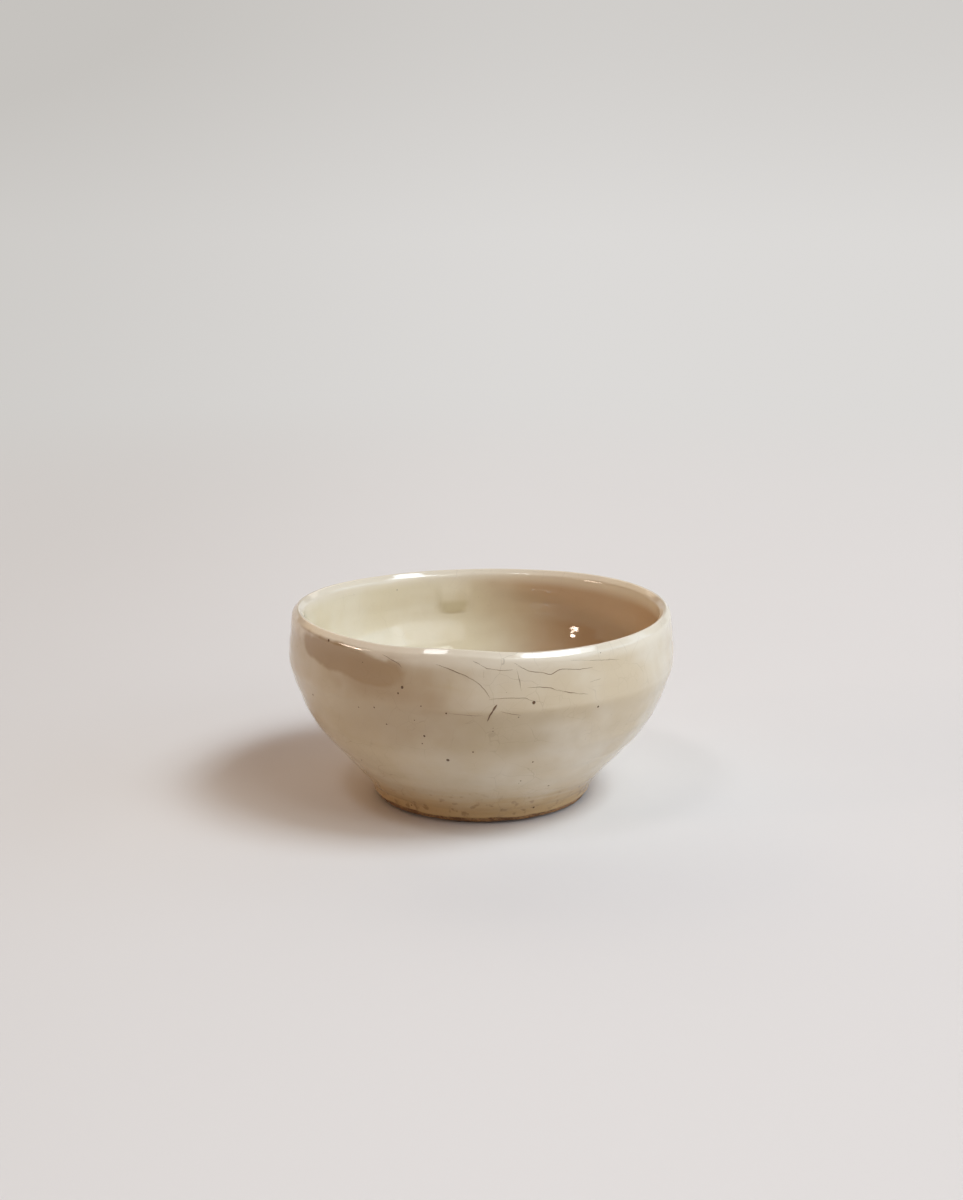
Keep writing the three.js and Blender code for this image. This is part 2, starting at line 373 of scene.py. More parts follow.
def well_side(s):
    """Inner side of the ring as far down as the glaze goes, from its edge upwards."""
    draft = s.well_draft * s.well_glaze_depth / s.foot_height
    return [spot(well_radius(s) + draft, s.foot_height - s.well_glaze_depth),
            spot(well_radius(s), s.foot_height)]


def worked(s, outline):
    """The outer side with the flat band below the belly and the rounding of the lip."""
    middle = s.belly_radius - s.lip_inset - s.lip_thickness / 2
    return [spot(middle + (point.x - facet(s, point.z) - middle) * lip_share(s, point.z),
                 point.z) for point in outline]


# Geometry Nodes

GROUP_KINDS = {
    "Geometry": "NodeSocketGeometry",
    "float": "NodeSocketFloat",
    "int": "NodeSocketInt",
    "object": "NodeSocketObject",
    "material": "NodeSocketMaterial",
}


def new_tree(name, inputs):
    """A geometry tree with named inputs, and the sockets of its input node by name."""
    tree = bpy.data.node_groups.new(name, "GeometryNodeTree")
    tree.interface.new_socket(name="Geometry", in_out="OUTPUT",
                              socket_type=GROUP_KINDS["Geometry"])
    for label, kind in inputs.items():
        tree.interface.new_socket(name=label, in_out="INPUT", socket_type=GROUP_KINDS[kind])
    group = tree.nodes.new("NodeGroupInput")
    return tree, {socket.name: socket for socket in group.outputs if socket.name}


def end_tree(tree, geometry, material):
    """Ends a tree in plain geometry with its material."""
    real = add_node(tree, "GeometryNodeRealizeInstances", {"Geometry": geometry})
    done = add_node(tree, "GeometryNodeSetMaterial", {"Geometry": real, "Material": material})
    add_node(tree, "NodeGroupOutput", {"Geometry": done})


def piece_from_tree(name, mesh, tree, values):
    """Runs a tree on a mesh and returns the result as a piece of its own."""
    maker = bpy.data.objects.new(name + "_maker", mesh)
    bpy.context.scene.collection.objects.link(maker)
    modifier = maker.modifiers.new("Made by rule", "NODES")
    modifier.node_group = tree
    for item in tree.interface.items_tree:
        if item.in_out == "INPUT" and item.name in values:
            modifier[item.identifier] = values[item.name]
    graph = bpy.context.evaluated_depsgraph_get()
    made = bpy.data.meshes.new_from_object(maker.evaluated_get(graph))
    maker.modifiers.remove(modifier)
    bpy.data.objects.remove(maker)
    if not made.polygons:
        raise RuntimeError(f"the tree for {name} made no faces")
    made.name = name
    made.materials.clear()
    made.materials.append(values["Material"])
    made.polygons.foreach_set("material_index", [0] * len(made.polygons))
    piece = bpy.data.objects.new(name, made)
    bpy.context.scene.collection.objects.link(piece)
    return piece


def thrown_form_tree():
    """Turns an outline round the Z axis and gives it the unevenness of hand work.

    The outline's points carry outward, the way out of the piece, face, which is 1 where
    the surface shows and may wave and 0 where it lies on another piece, and lining, which
    is 1 inside the cup. The result keeps face and lining, and adds pool: 1 where glaze has
    pooled at the end of the run.
    """
    sizes = ("Belly Radius", "Oval", "Seat Height", "Lip Height", "Lip Dip",
             "Lip High Turn", "Centre Radius", "Wave Depth", "Wave Width", "Grit Depth",
             "Grit Width", "Ripple Depth", "Ripple Pitch", "Run Turn", "Run Width",
             "Run Top", "Run Bottom", "Run Thickness", "Edge Wander", "Edge Height",
             "Swell", "Swell Turn", "Swell Width", "Swell Depth")
    tree, given = new_tree("Thrown form", {
        "Outline": "Geometry", "Segments": "int", **dict.fromkeys(sizes, "float"),
        "Material": "material",
    })
    outline = given["Outline"]
    count = add_node(tree, "GeometryNodeAttributeDomainSize", {"Geometry": outline})
    columns = add_node(tree, "ShaderNodeMath", {0: given["Segments"], 1: 1.0})
    grid = add_node(tree, "GeometryNodeMeshGrid",
                    {"Size X": 1.0, "Size Y": 1.0, "Vertices X": columns, "Vertices Y": count})
    index = add_node(tree, "GeometryNodeInputIndex")
    row = add_node(tree, "ShaderNodeMath", {0: index, 1: count}, operation="MODULO")
    column = add_node(tree, "ShaderNodeMath", {0: index, 1: count}, operation="DIVIDE")
    column = add_node(tree, "ShaderNodeMath", {0: column}, operation="FLOOR")
    share = add_node(tree, "ShaderNodeMath", {0: column, 1: given["Segments"]},
                     operation="DIVIDE")
    turn = add_node(tree, "ShaderNodeMath", {0: share, 1: math.tau}, operation="MULTIPLY")

    # Each point of the grid reads its row's point of the outline, turned to its column
    fields = {"place": add_node(tree, "GeometryNodeInputPosition")}
    kinds = {"place": "FLOAT_VECTOR", "outward": "FLOAT_VECTOR", "face": "FLOAT",
             "lining": "FLOAT"}
    for name in ("outward", "face", "lining"):
        fields[name] = add_node(tree, "GeometryNodeInputNamedAttribute", {"Name": name},
                                data_type=kinds[name])
    for name, kind in kinds.items():
        fields[name] = add_node(tree, "GeometryNodeSampleIndex",
                                {"Geometry": outline, "Value": fields[name], "Index": row},
                                data_type=kind, domain="POINT")
    for name in ("place", "outward"):
        fields[name] = add_node(tree, "ShaderNodeVectorRotate",
                                {"Vector": fields[name], "Angle": turn},
                                rotation_type="Z_AXIS")
    true_place, outward, face = fields["place"], fields["outward"], fields["face"]
    height = add_node(tree, "ShaderNodeSeparateXYZ", {0: true_place}).node.outputs["Z"]

    # Slow waves, grit and finger ripples, all of which only take away
    clouds = []
    for width, detail in (("Wave Width", 1.5), ("Grit Width", 3.0)):
        fineness = add_node(tree, "ShaderNodeMath", {0: 1.0, 1: given[width]},
                            operation="DIVIDE")
        clouds.append(add_node(tree, "ShaderNodeTexNoise",
                               {"Vector": true_place, "Scale": fineness,
                                "Detail": detail}))
    wave, grit = clouds
    climb = add_node(tree, "ShaderNodeMath", {0: height, 1: given["Ripple Pitch"]},
                     operation="DIVIDE")
    climb = add_node(tree, "ShaderNodeMath", {0: climb, 1: share}, operation="ADD")
    bent_climb = add_node(tree, "ShaderNodeMath", {0: wave, 1: 1.4, 2: climb},
                          operation="MULTIPLY_ADD")
    ripple = add_node(tree, "ShaderNodeMath", {0: bent_climb, 1: math.tau},
                      operation="MULTIPLY")
    ripple = add_node(tree, "ShaderNodeMath", {0: ripple}, operation="COSINE")
    ripple = add_node(tree, "ShaderNodeMath", {0: ripple, 1: 0.5, 2: 0.5},
                      operation="MULTIPLY_ADD")
    taken = 0.0
    for cause, depth in ((wave, "Wave Depth"), (grit, "Grit Depth"),
                         (ripple, "Ripple Depth")):
        taken = add_node(tree, "ShaderNodeMath", {0: cause, 1: given[depth], 2: taken},
                         operation="MULTIPLY_ADD")

    # The run of glaze: it thickens downwards and ends in a round, steep-edged drop
    from_run = add_node(tree, "ShaderNodeMath", {0: turn, 1: given["Run Turn"]},
                        operation="SUBTRACT")
    arc = add_node(tree, "ShaderNodeMath", {0: from_run, 1: given["Belly Radius"]},
                   operation="MULTIPLY")
    half_width = add_node(tree, "ShaderNodeMath", {0: given["Run Width"], 1: 0.5},
                          operation="MULTIPLY")
    across = add_node(tree, "ShaderNodeMath", {0: arc, 1: half_width}, operation="DIVIDE")
    drop = add_node(tree, "ShaderNodeMath", {0: given["Lip Height"], 1: height},
                    operation="SUBTRACT")
    down = add_node(tree, "ShaderNodeMapRange",
                    {"Value": drop, "From Min": given["Run Top"],
                     "From Max": given["Run Bottom"]})
    sides = add_node(tree, "ShaderNodeMath", {0: across, 1: 4.0}, operation="POWER")
    end = add_node(tree, "ShaderNodeMath", {0: down, 1: 3.0}, operation="POWER")
    far = add_node(tree, "ShaderNodeMath", {0: sides, 1: end}, operation="ADD")
    inside = add_node(tree, "ShaderNodeMath", {0: 1.0, 1: far}, operation="SUBTRACT",
                      use_clamp=True)
    inside = add_node(tree, "ShaderNodeMath", {0: inside, 1: 0.6}, operation="POWER")
    inner = add_node(tree, "ShaderNodeVectorMath", {0: outward, 1: true_place},
                     operation="DOT_PRODUCT")
    inner = add_node(tree, "ShaderNodeMath", {0: inner, 1: 0.0}, operation="LESS_THAN")
    run = inside
    for share_of_run in (down, inner, face):
        run = add_node(tree, "ShaderNodeMath", {0: run, 1: share_of_run},
                       operation="MULTIPLY")
    held = add_node(tree, "ShaderNodeMath", {0: run, 1: given["Run Thickness"]},
                    operation="MULTIPLY")
    pool = add_node(tree, "ShaderNodeMapRange",
                    {"Value": run, "From Min": 0.1, "From Max": 0.45})
    deep = add_node(tree, "ShaderNodeMapRange",
                    {"Value": down, "From Min": 0.52, "From Max": 0.72},
                    interpolation_type="SMOOTHSTEP")
    pool = add_node(tree, "ShaderNodeMath", {0: pool, 1: deep}, operation="MULTIPLY")
    moved = add_node(tree, "ShaderNodeMath", {0: taken, 1: face}, operation="MULTIPLY")
    moved = add_node(tree, "ShaderNodeMath", {0: held, 1: moved}, operation="SUBTRACT")
    shift = add_node(tree, "ShaderNodeVectorMath", {0: outward, "Scale": moved},
                     operation="SCALE")
    shaped = add_node(tree, "ShaderNodeVectorMath", {0: true_place, 1: shift})

    # The glaze's lower edge wanders up and down on the foot, in clouds 5 mm wide
    ring = add_node(tree, "ShaderNodeVectorMath", {0: true_place, 1: (1.0, 1.0, 0.0)},
                    operation="MULTIPLY")
    wander = add_node(tree, "ShaderNodeTexNoise", {"Vector": ring, "Scale": 1 / (5 * MM),
                                                   "Detail": 3.0})
    near_edge = add_node(tree, "ShaderNodeMapRange",
                         {"Value": height, "From Min": given["Edge Height"],
                          "From Max": given["Seat Height"], "To Min": 1.0, "To Max": 0.0})
    lift = wander
    for limit in (near_edge, given["Edge Wander"]):
        lift = add_node(tree, "ShaderNodeMath", {0: lift, 1: limit}, operation="MULTIPLY")

    # The plan is slightly oval and the lip dips at two sides. The foot stays true.
    rise = add_node(tree, "ShaderNodeMapRange",
                    {"Value": height, "From Min": given["Seat Height"],
                     "From Max": given["Lip Height"]}, interpolation_type="SMOOTHSTEP")
    twice = add_node(tree, "ShaderNodeMath", {0: turn, 1: 2.0}, operation="MULTIPLY")
    twice = add_node(tree, "ShaderNodeMath", {0: twice}, operation="COSINE")
    draw = add_node(tree, "ShaderNodeMath", {0: given["Oval"], 1: given["Belly Radius"]},
                    operation="DIVIDE")
    draw = add_node(tree, "ShaderNodeMath", {0: draw, 1: twice}, operation="MULTIPLY")
    widening = add_node(tree, "ShaderNodeMath", {0: draw, 1: rise, 2: 1.0},
                        operation="MULTIPLY_ADD")
    from_high = add_node(tree, "ShaderNodeMath", {0: turn, 1: given["Lip High Turn"]},
                         operation="SUBTRACT")
    dip = add_node(tree, "ShaderNodeMath", {0: from_high}, operation="SINE")
    dip = add_node(tree, "ShaderNodeMath", {0: dip, 1: 2.0}, operation="POWER")
    reach = add_node(tree, "ShaderNodeVectorMath", {0: ring}, operation="LENGTH")
    reach = add_node(tree, "ShaderNodeMapRange",
                     {"Value": reach, "From Max": given["Centre Radius"]})
    for limit in (given["Lip Dip"], rise, reach):
        dip = add_node(tree, "ShaderNodeMath", {0: dip, 1: limit}, operation="MULTIPLY")
    raised = add_node(tree, "ShaderNodeMath", {0: lift, 1: dip}, operation="SUBTRACT")

    # The lip swells up a little at one side
    aside = add_node(tree, "ShaderNodeMath", {0: turn, 1: given["Swell Turn"]},
                     operation="SUBTRACT")
    aside = add_node(tree, "ShaderNodeMath", {0: aside}, operation="ABSOLUTE")
    swell = add_node(tree, "ShaderNodeMapRange",
                     {"Value": aside, "From Min": given["Swell Width"], "From Max": 0.0},
                     interpolation_type="SMOOTHSTEP")
    high = add_node(tree, "ShaderNodeMapRange",
                    {"Value": drop, "From Min": given["Swell Depth"], "From Max": 0.0},
                    interpolation_type="SMOOTHSTEP")
    swell = add_node(tree, "ShaderNodeMath", {0: swell, 1: high}, operation="MULTIPLY")
    raised = add_node(tree, "ShaderNodeMath", {0: swell, 1: given["Swell"], 2: raised},
                      operation="MULTIPLY_ADD")
    stretch = add_node(tree, "ShaderNodeCombineXYZ", {"X": widening, "Y": widening, "Z": 1.0})
    raised = add_node(tree, "ShaderNodeCombineXYZ", {"Z": raised})
    final = add_node(tree, "ShaderNodeVectorMath", {0: shaped, 1: stretch, 2: raised},
                     operation="MULTIPLY_ADD")

    # Stored before the points move, while the fields still see the grid
    turned = grid
    for name, value in (("pool", pool), ("face", face), ("lining", fields["lining"])):
        turned = add_node(tree, "GeometryNodeStoreNamedAttribute",
                          {"Geometry": turned, "Name": name, "Value": value},
                          data_type="FLOAT", domain="POINT")
    turned = add_node(tree, "GeometryNodeSetPosition", {"Geometry": turned, "Position": final})
    turned = add_node(tree, "GeometryNodeMergeByDistance",
                      {"Geometry": turned, "Distance": WELD})
    neighbours = add_node(tree, "GeometryNodeInputMeshEdgeNeighbors")
    stray = add_node(tree, "FunctionNodeCompare", {"A": neighbours, "B": 0},
                     data_type="INT", operation="EQUAL")
    turned = add_node(tree, "GeometryNodeDeleteGeometry",
                      {"Geometry": turned, "Selection": stray},
                      domain="EDGE", mode="EDGE_FACE")
    turned = add_node(tree, "GeometryNodeSetShadeSmooth", {"Geometry": turned})
    end_tree(tree, turned, given["Material"])
    return tree


def outline_mesh(name, points, face, lining):
    """The outline's points, with the way out, where the face shows and where it is lining."""
    mesh = bpy.data.meshes.new(name)
    mesh.from_pydata([tuple(point) for point in points], [], [])
    mesh.attributes.new("outward", "FLOAT_VECTOR", "POINT")
    mesh.attributes.new("face", "FLOAT", "POINT")
    mesh.attributes.new("lining", "FLOAT", "POINT")
    for index, point in enumerate(points):
        before = points[max(index - 1, 0)]
        after = points[min(index + 1, len(points) - 1)]
        along = (after - before).normalized()
        mesh.attributes["outward"].data[index].vector = spot(along.z, -along.x)
        mesh.attributes["face"].data[index].value = face(index)
        mesh.attributes["lining"].data[index].value = lining(index)
    return mesh


def speck_tree():
    """Iron specks on the skin: some at chosen places, the rest scattered at random."""
    tree, given = new_tree("Iron specks", {
        "Skin": "Geometry", "Chosen": "object", "Density": "float", "Smallest": "float",
        "Largest": "float", "Flatness": "float", "Seed": "int", "Material": "material",
    })
    skin = given["Skin"]

    # The random ones lie only where the glaze shows fully
    shown = add_node(tree, "GeometryNodeInputNamedAttribute", {"Name": "face"},
                     data_type="FLOAT")
    shown = add_node(tree, "FunctionNodeCompare", {"A": shown, "B": 0.99},
                     data_type="FLOAT", operation="GREATER_THAN")
    strewn = add_node(tree, "GeometryNodeDistributePointsOnFaces",
                      {"Mesh": skin, "Selection": shown, "Density": given["Density"],
                       "Seed": given["Seed"]})
    chance = add_node(tree, "FunctionNodeRandomValue",
                      {"Min": 0.0, "Max": 1.0, "Seed": given["Seed"]}, data_type="FLOAT")

    # Most are small, and a large one is rare
    rare = add_node(tree, "ShaderNodeMath", {0: chance, 1: 4.0}, operation="POWER")
    span = add_node(tree, "ShaderNodeMath", {0: given["Largest"], 1: given["Smallest"]},
                    operation="SUBTRACT")
    random_size = add_node(tree, "ShaderNodeMath",
                           {0: rare, 1: span, 2: given["Smallest"]},
                           operation="MULTIPLY_ADD")
    strewn = add_node(tree, "GeometryNodeStoreNamedAttribute",
                      {"Geometry": strewn, "Name": "size", "Value": random_size},
                      data_type="FLOAT", domain="POINT")
    chosen = add_node(tree, "GeometryNodeObjectInfo", {"Object": given["Chosen"]})
    chosen = add_node(tree, "GeometryNodeMeshToPoints",
                      {"Mesh": chosen.node.outputs["Geometry"]})
    points = add_node(tree, "GeometryNodeJoinGeometry", {"Geometry": strewn})
    tree.links.new(chosen, points.node.inputs["Geometry"])
    nearest = add_node(tree, "GeometryNodeProximity", {"Geometry": skin},
                       target_element="FACES")
    points = add_node(tree, "GeometryNodeSetPosition",
                      {"Geometry": points, "Position": nearest})
    normal = add_node(tree, "GeometryNodeInputNormal")
    normal = add_node(tree, "GeometryNodeSampleNearestSurface",
                      {"Mesh": skin, "Value": normal}, data_type="FLOAT_VECTOR")
    facing = add_node(tree, "FunctionNodeAlignRotationToVector", {"Vector": normal},
                      axis="Z")
    spin = add_node(tree, "FunctionNodeRandomValue",
                    {"Min": 0.0, "Max": math.tau, "Seed": given["Seed"]},
                    data_type="FLOAT")
    spin = add_node(tree, "FunctionNodeAxisAngleToRotation",
                    {"Axis": (0.0, 0.0, 1.0), "Angle": spin})
    facing = add_node(tree, "FunctionNodeRotateRotation",
                      {"Rotation": facing, "Rotate By": spin}, rotation_space="LOCAL")
    blob = add_node(tree, "GeometryNodeMeshIcoSphere", {"Radius": 1.0, "Subdivisions": 2})
    size = add_node(tree, "GeometryNodeInputNamedAttribute", {"Name": "size"},
                    data_type="FLOAT")
    narrow = add_node(tree, "FunctionNodeRandomValue",
                      {"Min": 0.55, "Max": 1.0, "Seed": given["Seed"]}, data_type="FLOAT")
    narrow = add_node(tree, "ShaderNodeMath", {0: size, 1: narrow}, operation="MULTIPLY")
    thin = add_node(tree, "ShaderNodeMath", {0: size, 1: given["Flatness"]},
                    operation="MULTIPLY")
    scale = add_node(tree, "ShaderNodeCombineXYZ", {"X": size, "Y": narrow, "Z": thin})
    specks = add_node(tree, "GeometryNodeInstanceOnPoints",
                      {"Points": points, "Instance": blob, "Rotation": facing,
                       "Scale": scale})
    specks = add_node(tree, "GeometryNodeSetShadeSmooth", {"Geometry": specks})
    end_tree(tree, specks, given["Material"])
    return tree


def crack_tree():
    """Crackle lines that follow the skin along chosen paths, half sunk in it."""
    tree, given = new_tree("Crackle lines", {
        "Paths": "Geometry", "Skin": "object", "Step": "float",
        "Wander": "float", "Wander Width": "float", "Material": "material",
    })
    skin = add_node(tree, "GeometryNodeObjectInfo",
                    {"Object": given["Skin"]}).node.outputs["Geometry"]
    path = add_node(tree, "GeometryNodeMeshToCurve", {"Mesh": given["Paths"]})
    path = add_node(tree, "GeometryNodeResampleCurve",
                    {"Curve": path, "Length": given["Step"]}, mode="LENGTH")
    place = add_node(tree, "GeometryNodeInputPosition")
    fineness = add_node(tree, "ShaderNodeMath", {0: 1.0, 1: given["Wander Width"]},
                        operation="DIVIDE")
    noise = add_node(tree, "ShaderNodeTexNoise",
                     {"Vector": place, "Scale": fineness, "Detail": 2.0})
    noise = noise.node.outputs["Color"]
    noise = add_node(tree, "ShaderNodeVectorMath", {0: noise, 1: (0.5, 0.5, 0.5)},
                     operation="SUBTRACT")
    noise = add_node(tree, "ShaderNodeVectorMath", {0: noise, "Scale": given["Wander"]},
                     operation="SCALE")
    path = add_node(tree, "GeometryNodeSetPosition", {"Geometry": path, "Offset": noise})
    nearest = add_node(tree, "GeometryNodeProximity", {"Geometry": skin},
                       target_element="FACES")
    path = add_node(tree, "GeometryNodeSetPosition",
                    {"Geometry": path, "Position": nearest})

    # A line is thinner in places and towards its ends, but never below a share of its width
    patchy = add_node(tree, "ShaderNodeTexNoise",
                      {"Vector": place, "Scale": fineness, "Detail": 1.0})
    patchy = add_node(tree, "ShaderNodeMapRange",
                      {"Value": patchy, "From Min": 0.35, "From Max": 0.65,
                       "To Min": 0.35, "To Max": 1.0})
    along = add_node(tree, "GeometryNodeSplineParameter")
    ends = add_node(tree, "ShaderNodeMath", {0: along, 1: math.pi}, operation="MULTIPLY")
    ends = add_node(tree, "ShaderNodeMath", {0: ends}, operation="SINE")
    ends = add_node(tree, "ShaderNodeMath", {0: ends, 1: 0.4}, operation="POWER")
    radius = add_node(tree, "ShaderNodeMath", {0: patchy, 1: ends}, operation="MULTIPLY")
    radius = add_node(tree, "ShaderNodeMath", {0: radius, 1: 0.15}, operation="MAXIMUM")
    width = add_node(tree, "GeometryNodeInputNamedAttribute", {"Name": "width"},
                     data_type="FLOAT")
    radius = add_node(tree, "ShaderNodeMath", {0: radius, 1: width}, operation="MULTIPLY")
    ring = add_node(tree, "GeometryNodeCurvePrimitiveCircle",
                    {"Resolution": 4, "Radius": 0.5})
    line = add_node(tree, "GeometryNodeCurveToMesh",
                    {"Curve": path, "Profile Curve": ring, "Scale": radius,
                     "Fill Caps": True})
    line = add_node(tree, "GeometryNodeSetShadeSmooth", {"Geometry": line})
    end_tree(tree, line, given["Material"])
    return tree


# Materials

def new_material(name):
    """An empty material with its shader, its output and its Object coordinates."""
    material = bpy.data.materials.new(name)
    material.use_nodes = True
    tree = material.node_tree
    tree.nodes.clear()
    shader = add_node(tree, "ShaderNodeBsdfPrincipled")
    add_node(tree, "ShaderNodeOutputMaterial", {"Surface": shader})
    place = add_node(tree, "ShaderNodeTexCoord").node.outputs["Object"]
    return material, tree, shader.node, place


def glaze_material(name, s, c):
    """Cream feldspar glaze, poured and dipped over porcelain and fired glossy.

    It gives the eye a wet, glassy shine on a soft cream that is warmer where the coat is thick.
    Crackle lines have taken up tea, and the clay's iron has burnt out in specks. Shade is
    painted into its colour on the outside's left, on a band below the belly, in patches under
    the lip and on the lining's right, and light is painted on the lip.
    """
    material, tree, shader, place = new_material(name)
    parts = add_node(tree, "ShaderNodeSeparateXYZ", {0: place}).node.outputs
    values = {"x": parts["X"], "height": parts["Z"]}
    for label in ("lining", "pool"):
        values[label] = add_node(tree, "ShaderNodeAttribute",
                                 attribute_name=label).node.outputs["Fac"]
    values["outer"] = add_node(tree, "ShaderNodeMath", {0: 1.0, 1: values["lining"]},
                               operation="SUBTRACT")
    values["front"] = add_node(tree, "ShaderNodeMath", {0: parts["Y"], 1: 0.0},
                               operation="LESS_THAN")

    # Clouds, each for one thing: their width in millimetres and how detailed they are
    for label, width, detail in (
            ("coat", 14, 3), ("mottle", 4, 3), ("flame", 9, 2), ("band", 8, 2),
            ("band shade cloud", 10, 2), ("foot edge", 5, 3), ("grit", 1.6, 3), ("patch edge", 6, 3),
            ("tea", 11, 2), ("fine tea", 7, 1), ("gloss", 9, 3), ("skin", 2.6, 2),
            ("bend", 3.5, 2)):
        values[label] = add_node(tree, "ShaderNodeTexNoise",
                                 {"Vector": place, "Scale": 1 / (width * MM),
                                  "Detail": detail})

    # Brush streaks round the foot, 14 mm long and 0.9 mm high
    streaks = add_node(tree, "ShaderNodeVectorMath",
                       {0: place, 1: (1 / (14 * MM), 1 / (14 * MM), 1 / (0.9 * MM))},
                       operation="MULTIPLY")
    streaks = add_node(tree, "ShaderNodeTexNoise",
                       {"Vector": streaks, "Scale": 1.0, "Detail": 2.0})
    values["brushed edge"] = add_node(tree, "ShaderNodeMath",
                                      {0: streaks, 1: values["foot edge"]},
                                      operation="ADD")

    # Places along the cup whose edges wander: a value, times a factor, plus a base
    for label, source, factor, base in (
            # aside is X with a wandering edge: it places the painted shades on the lining and
            # the outside
            ("aside", "flame", 10 * MM, "x"),
            ("lining shade reach", "height", 0.6, "aside"),
            ("band height", "band", 0.8 * MM, "height"),
            ("foot height", "brushed edge", 3.5 * MM, "height")):
        values[label] = add_node(tree, "ShaderNodeMath",
                                 {0: values[source], 1: factor, 2: values[base]},
                                 operation="MULTIPLY_ADD")

    # The crackle's cells have bent sides, and there are finer ones inside them
    bend = add_node(tree, "ShaderNodeVectorMath",
                    {0: values["bend"].node.outputs["Color"], "Scale": 1.6 * MM},
                    operation="SCALE")
    bent = add_node(tree, "ShaderNodeVectorMath", {0: place, 1: bend})
    cell, fine_cell = s.crackle_cell, s.crackle_cell * 0.45
    for label, width in (("crackle", cell), ("fine crackle", fine_cell)):
        values[label] = add_node(tree, "ShaderNodeTexVoronoi",
                                 {"Vector": bent, "Scale": 1 / width},
                                 feature="DISTANCE_TO_EDGE")
    line, fine_line = s.crackle_line / 2 / cell, s.crackle_line / 3 / fine_cell

    # Burnt-out iron, too fine to stand proud: dots about 0.2 mm across, in some of the cells
    values["iron"] = add_node(tree, "ShaderNodeTexVoronoi",
                              {"Vector": place, "Scale": 1 / (3.2 * MM)}, feature="F1")
    chance = add_node(tree, "ShaderNodeSeparateXYZ",
                      {0: values["iron"].node.outputs["Color"]})
    with_iron = add_node(tree, "ShaderNodeMath", {0: chance, 1: 0.72},
                         operation="GREATER_THAN")

    # How much of each there is. It changes softly while its value, a cloud's height or a
    # place along the cup, goes from the first number to the second.
    top = s.clay_height
    shares = {}
    for label, source, start, end, at_start, at_end in (
            ("coat", "coat", 0.38, 0.66, 0.0, 1.0),
            ("mottle", "mottle", 0.3, 0.75, 0.0, 0.5),
            # Painted shade on the lining's right, where the rim's shadow falls
            ("right lining shade", "lining shade reach", 14 * MM, 39 * MM, 0.0, 0.9),
            # Painted shade on the outside's left, away from the light
            ("left shade", "aside", 22 * MM, -4 * MM, 0.0, 0.58),
            # Painted shade on the band below the belly, which faces down; a cloud makes it
            # patchy and it fades to the right
            ("below band top", "band height", 25.1 * MM, 26.1 * MM, 1.0, 0.0),
            ("above band foot", "band height", 15.5 * MM, 19.5 * MM, 0.0, 1.0),
            ("wiped", "band shade cloud", 0.3, 0.7, 0.25, 1.0),
            ("band shade side", "aside", 16 * MM, 28 * MM, 0.85, 0.255),
            # Partly painted light: the lip's top is lighter
            ("lip", "height", top - 3.6 * MM, top - 1.2 * MM, 0.0, 0.8),
            ("foot", "foot height", 5 * MM, 13 * MM, 1.0, 0.0),
            ("grit", "grit", 0.56, 0.7, 0.0, 0.5),
            ("crackle", "crackle", 0.2 * line, line, 1.0, 0.0),
            ("fine crackle", "fine crackle", 0.2 * fine_line, fine_line, 1.0, 0.0),
            ("tea", "tea", 0.46, 0.7, 0.02, 0.3),
            ("fine tea", "fine tea", 0.52, 0.7, 0.0, 0.15),
            ("less inside", "lining", 0.0, 1.0, 1.0, 0.35),
            ("iron", "iron", 0.02, 0.05, 0.7, 0.0),
            ("gloss", "gloss", 0.3, 0.7, 0.04, 0.09)):
        shares[label] = add_node(tree, "ShaderNodeMapRange",
                                 {"Value": values[source], "From Min": start,
                                  "From Max": end, "To Min": at_start, "To Max": at_end},
                                 interpolation_type="SMOOTHSTEP")

    # Painted shade on the cup's left front, under the lip and below it, on the front half only.
    # Patches are given by their middle and half sizes in millimetres, how they slope down to the
    # right, how soft they end and how strong they are: two under the lip, one below.
    ragged = add_node(tree, "ShaderNodeMath", {0: values["patch edge"], 1: 0.9, 2: -0.45},
                      operation="MULTIPLY_ADD")
    shade_patches = []
    for middle, half_size, slope, soft, share in (
            ((-21.8, 31.4), (9.3, 2.5), 0.45, 0.16, 0.85),
            ((-16.0, 29.4), (9.0, 3.4), 0.3, 0.5, 0.5),
            ((-13.0, 24.5), (10.0, 7.0), 0.0, 0.7, 0.4)):
        off = add_node(tree, "ShaderNodeVectorMath",
                       {0: place, 1: (middle[0] * MM, 0, middle[1] * MM)},
                       operation="SUBTRACT")
        off = add_node(tree, "ShaderNodeVectorMath",
                       {0: off, 1: (1 / (half_size[0] * MM), 0, 1 / (half_size[1] * MM))},
                       operation="MULTIPLY")
        off = add_node(tree, "ShaderNodeSeparateXYZ", {0: off}).node.outputs
        up = add_node(tree, "ShaderNodeMath", {0: off["X"], 1: slope, 2: off["Z"]},
                      operation="MULTIPLY_ADD")
        cubes = []
        for way in (off["X"], up):
            way = add_node(tree, "ShaderNodeMath", {0: way}, operation="ABSOLUTE")
            cubes.append(add_node(tree, "ShaderNodeMath", {0: way, 1: 3.0},
                                  operation="POWER"))
        reach = add_node(tree, "ShaderNodeMath", {0: cubes[0], 1: cubes[1]},
                         operation="ADD")
        reach = add_node(tree, "ShaderNodeMath", {0: reach, 1: 1 / 3}, operation="POWER")
        reach = add_node(tree, "ShaderNodeMath", {0: reach, 1: ragged}, operation="ADD")
        shade_patches.append(add_node(tree, "ShaderNodeMapRange",
                                {"Value": reach, "From Min": 1 - soft,
                                 "From Max": 1 + soft, "To Min": share, "To Max": 0.0},
                                interpolation_type="SMOOTHSTEP"))

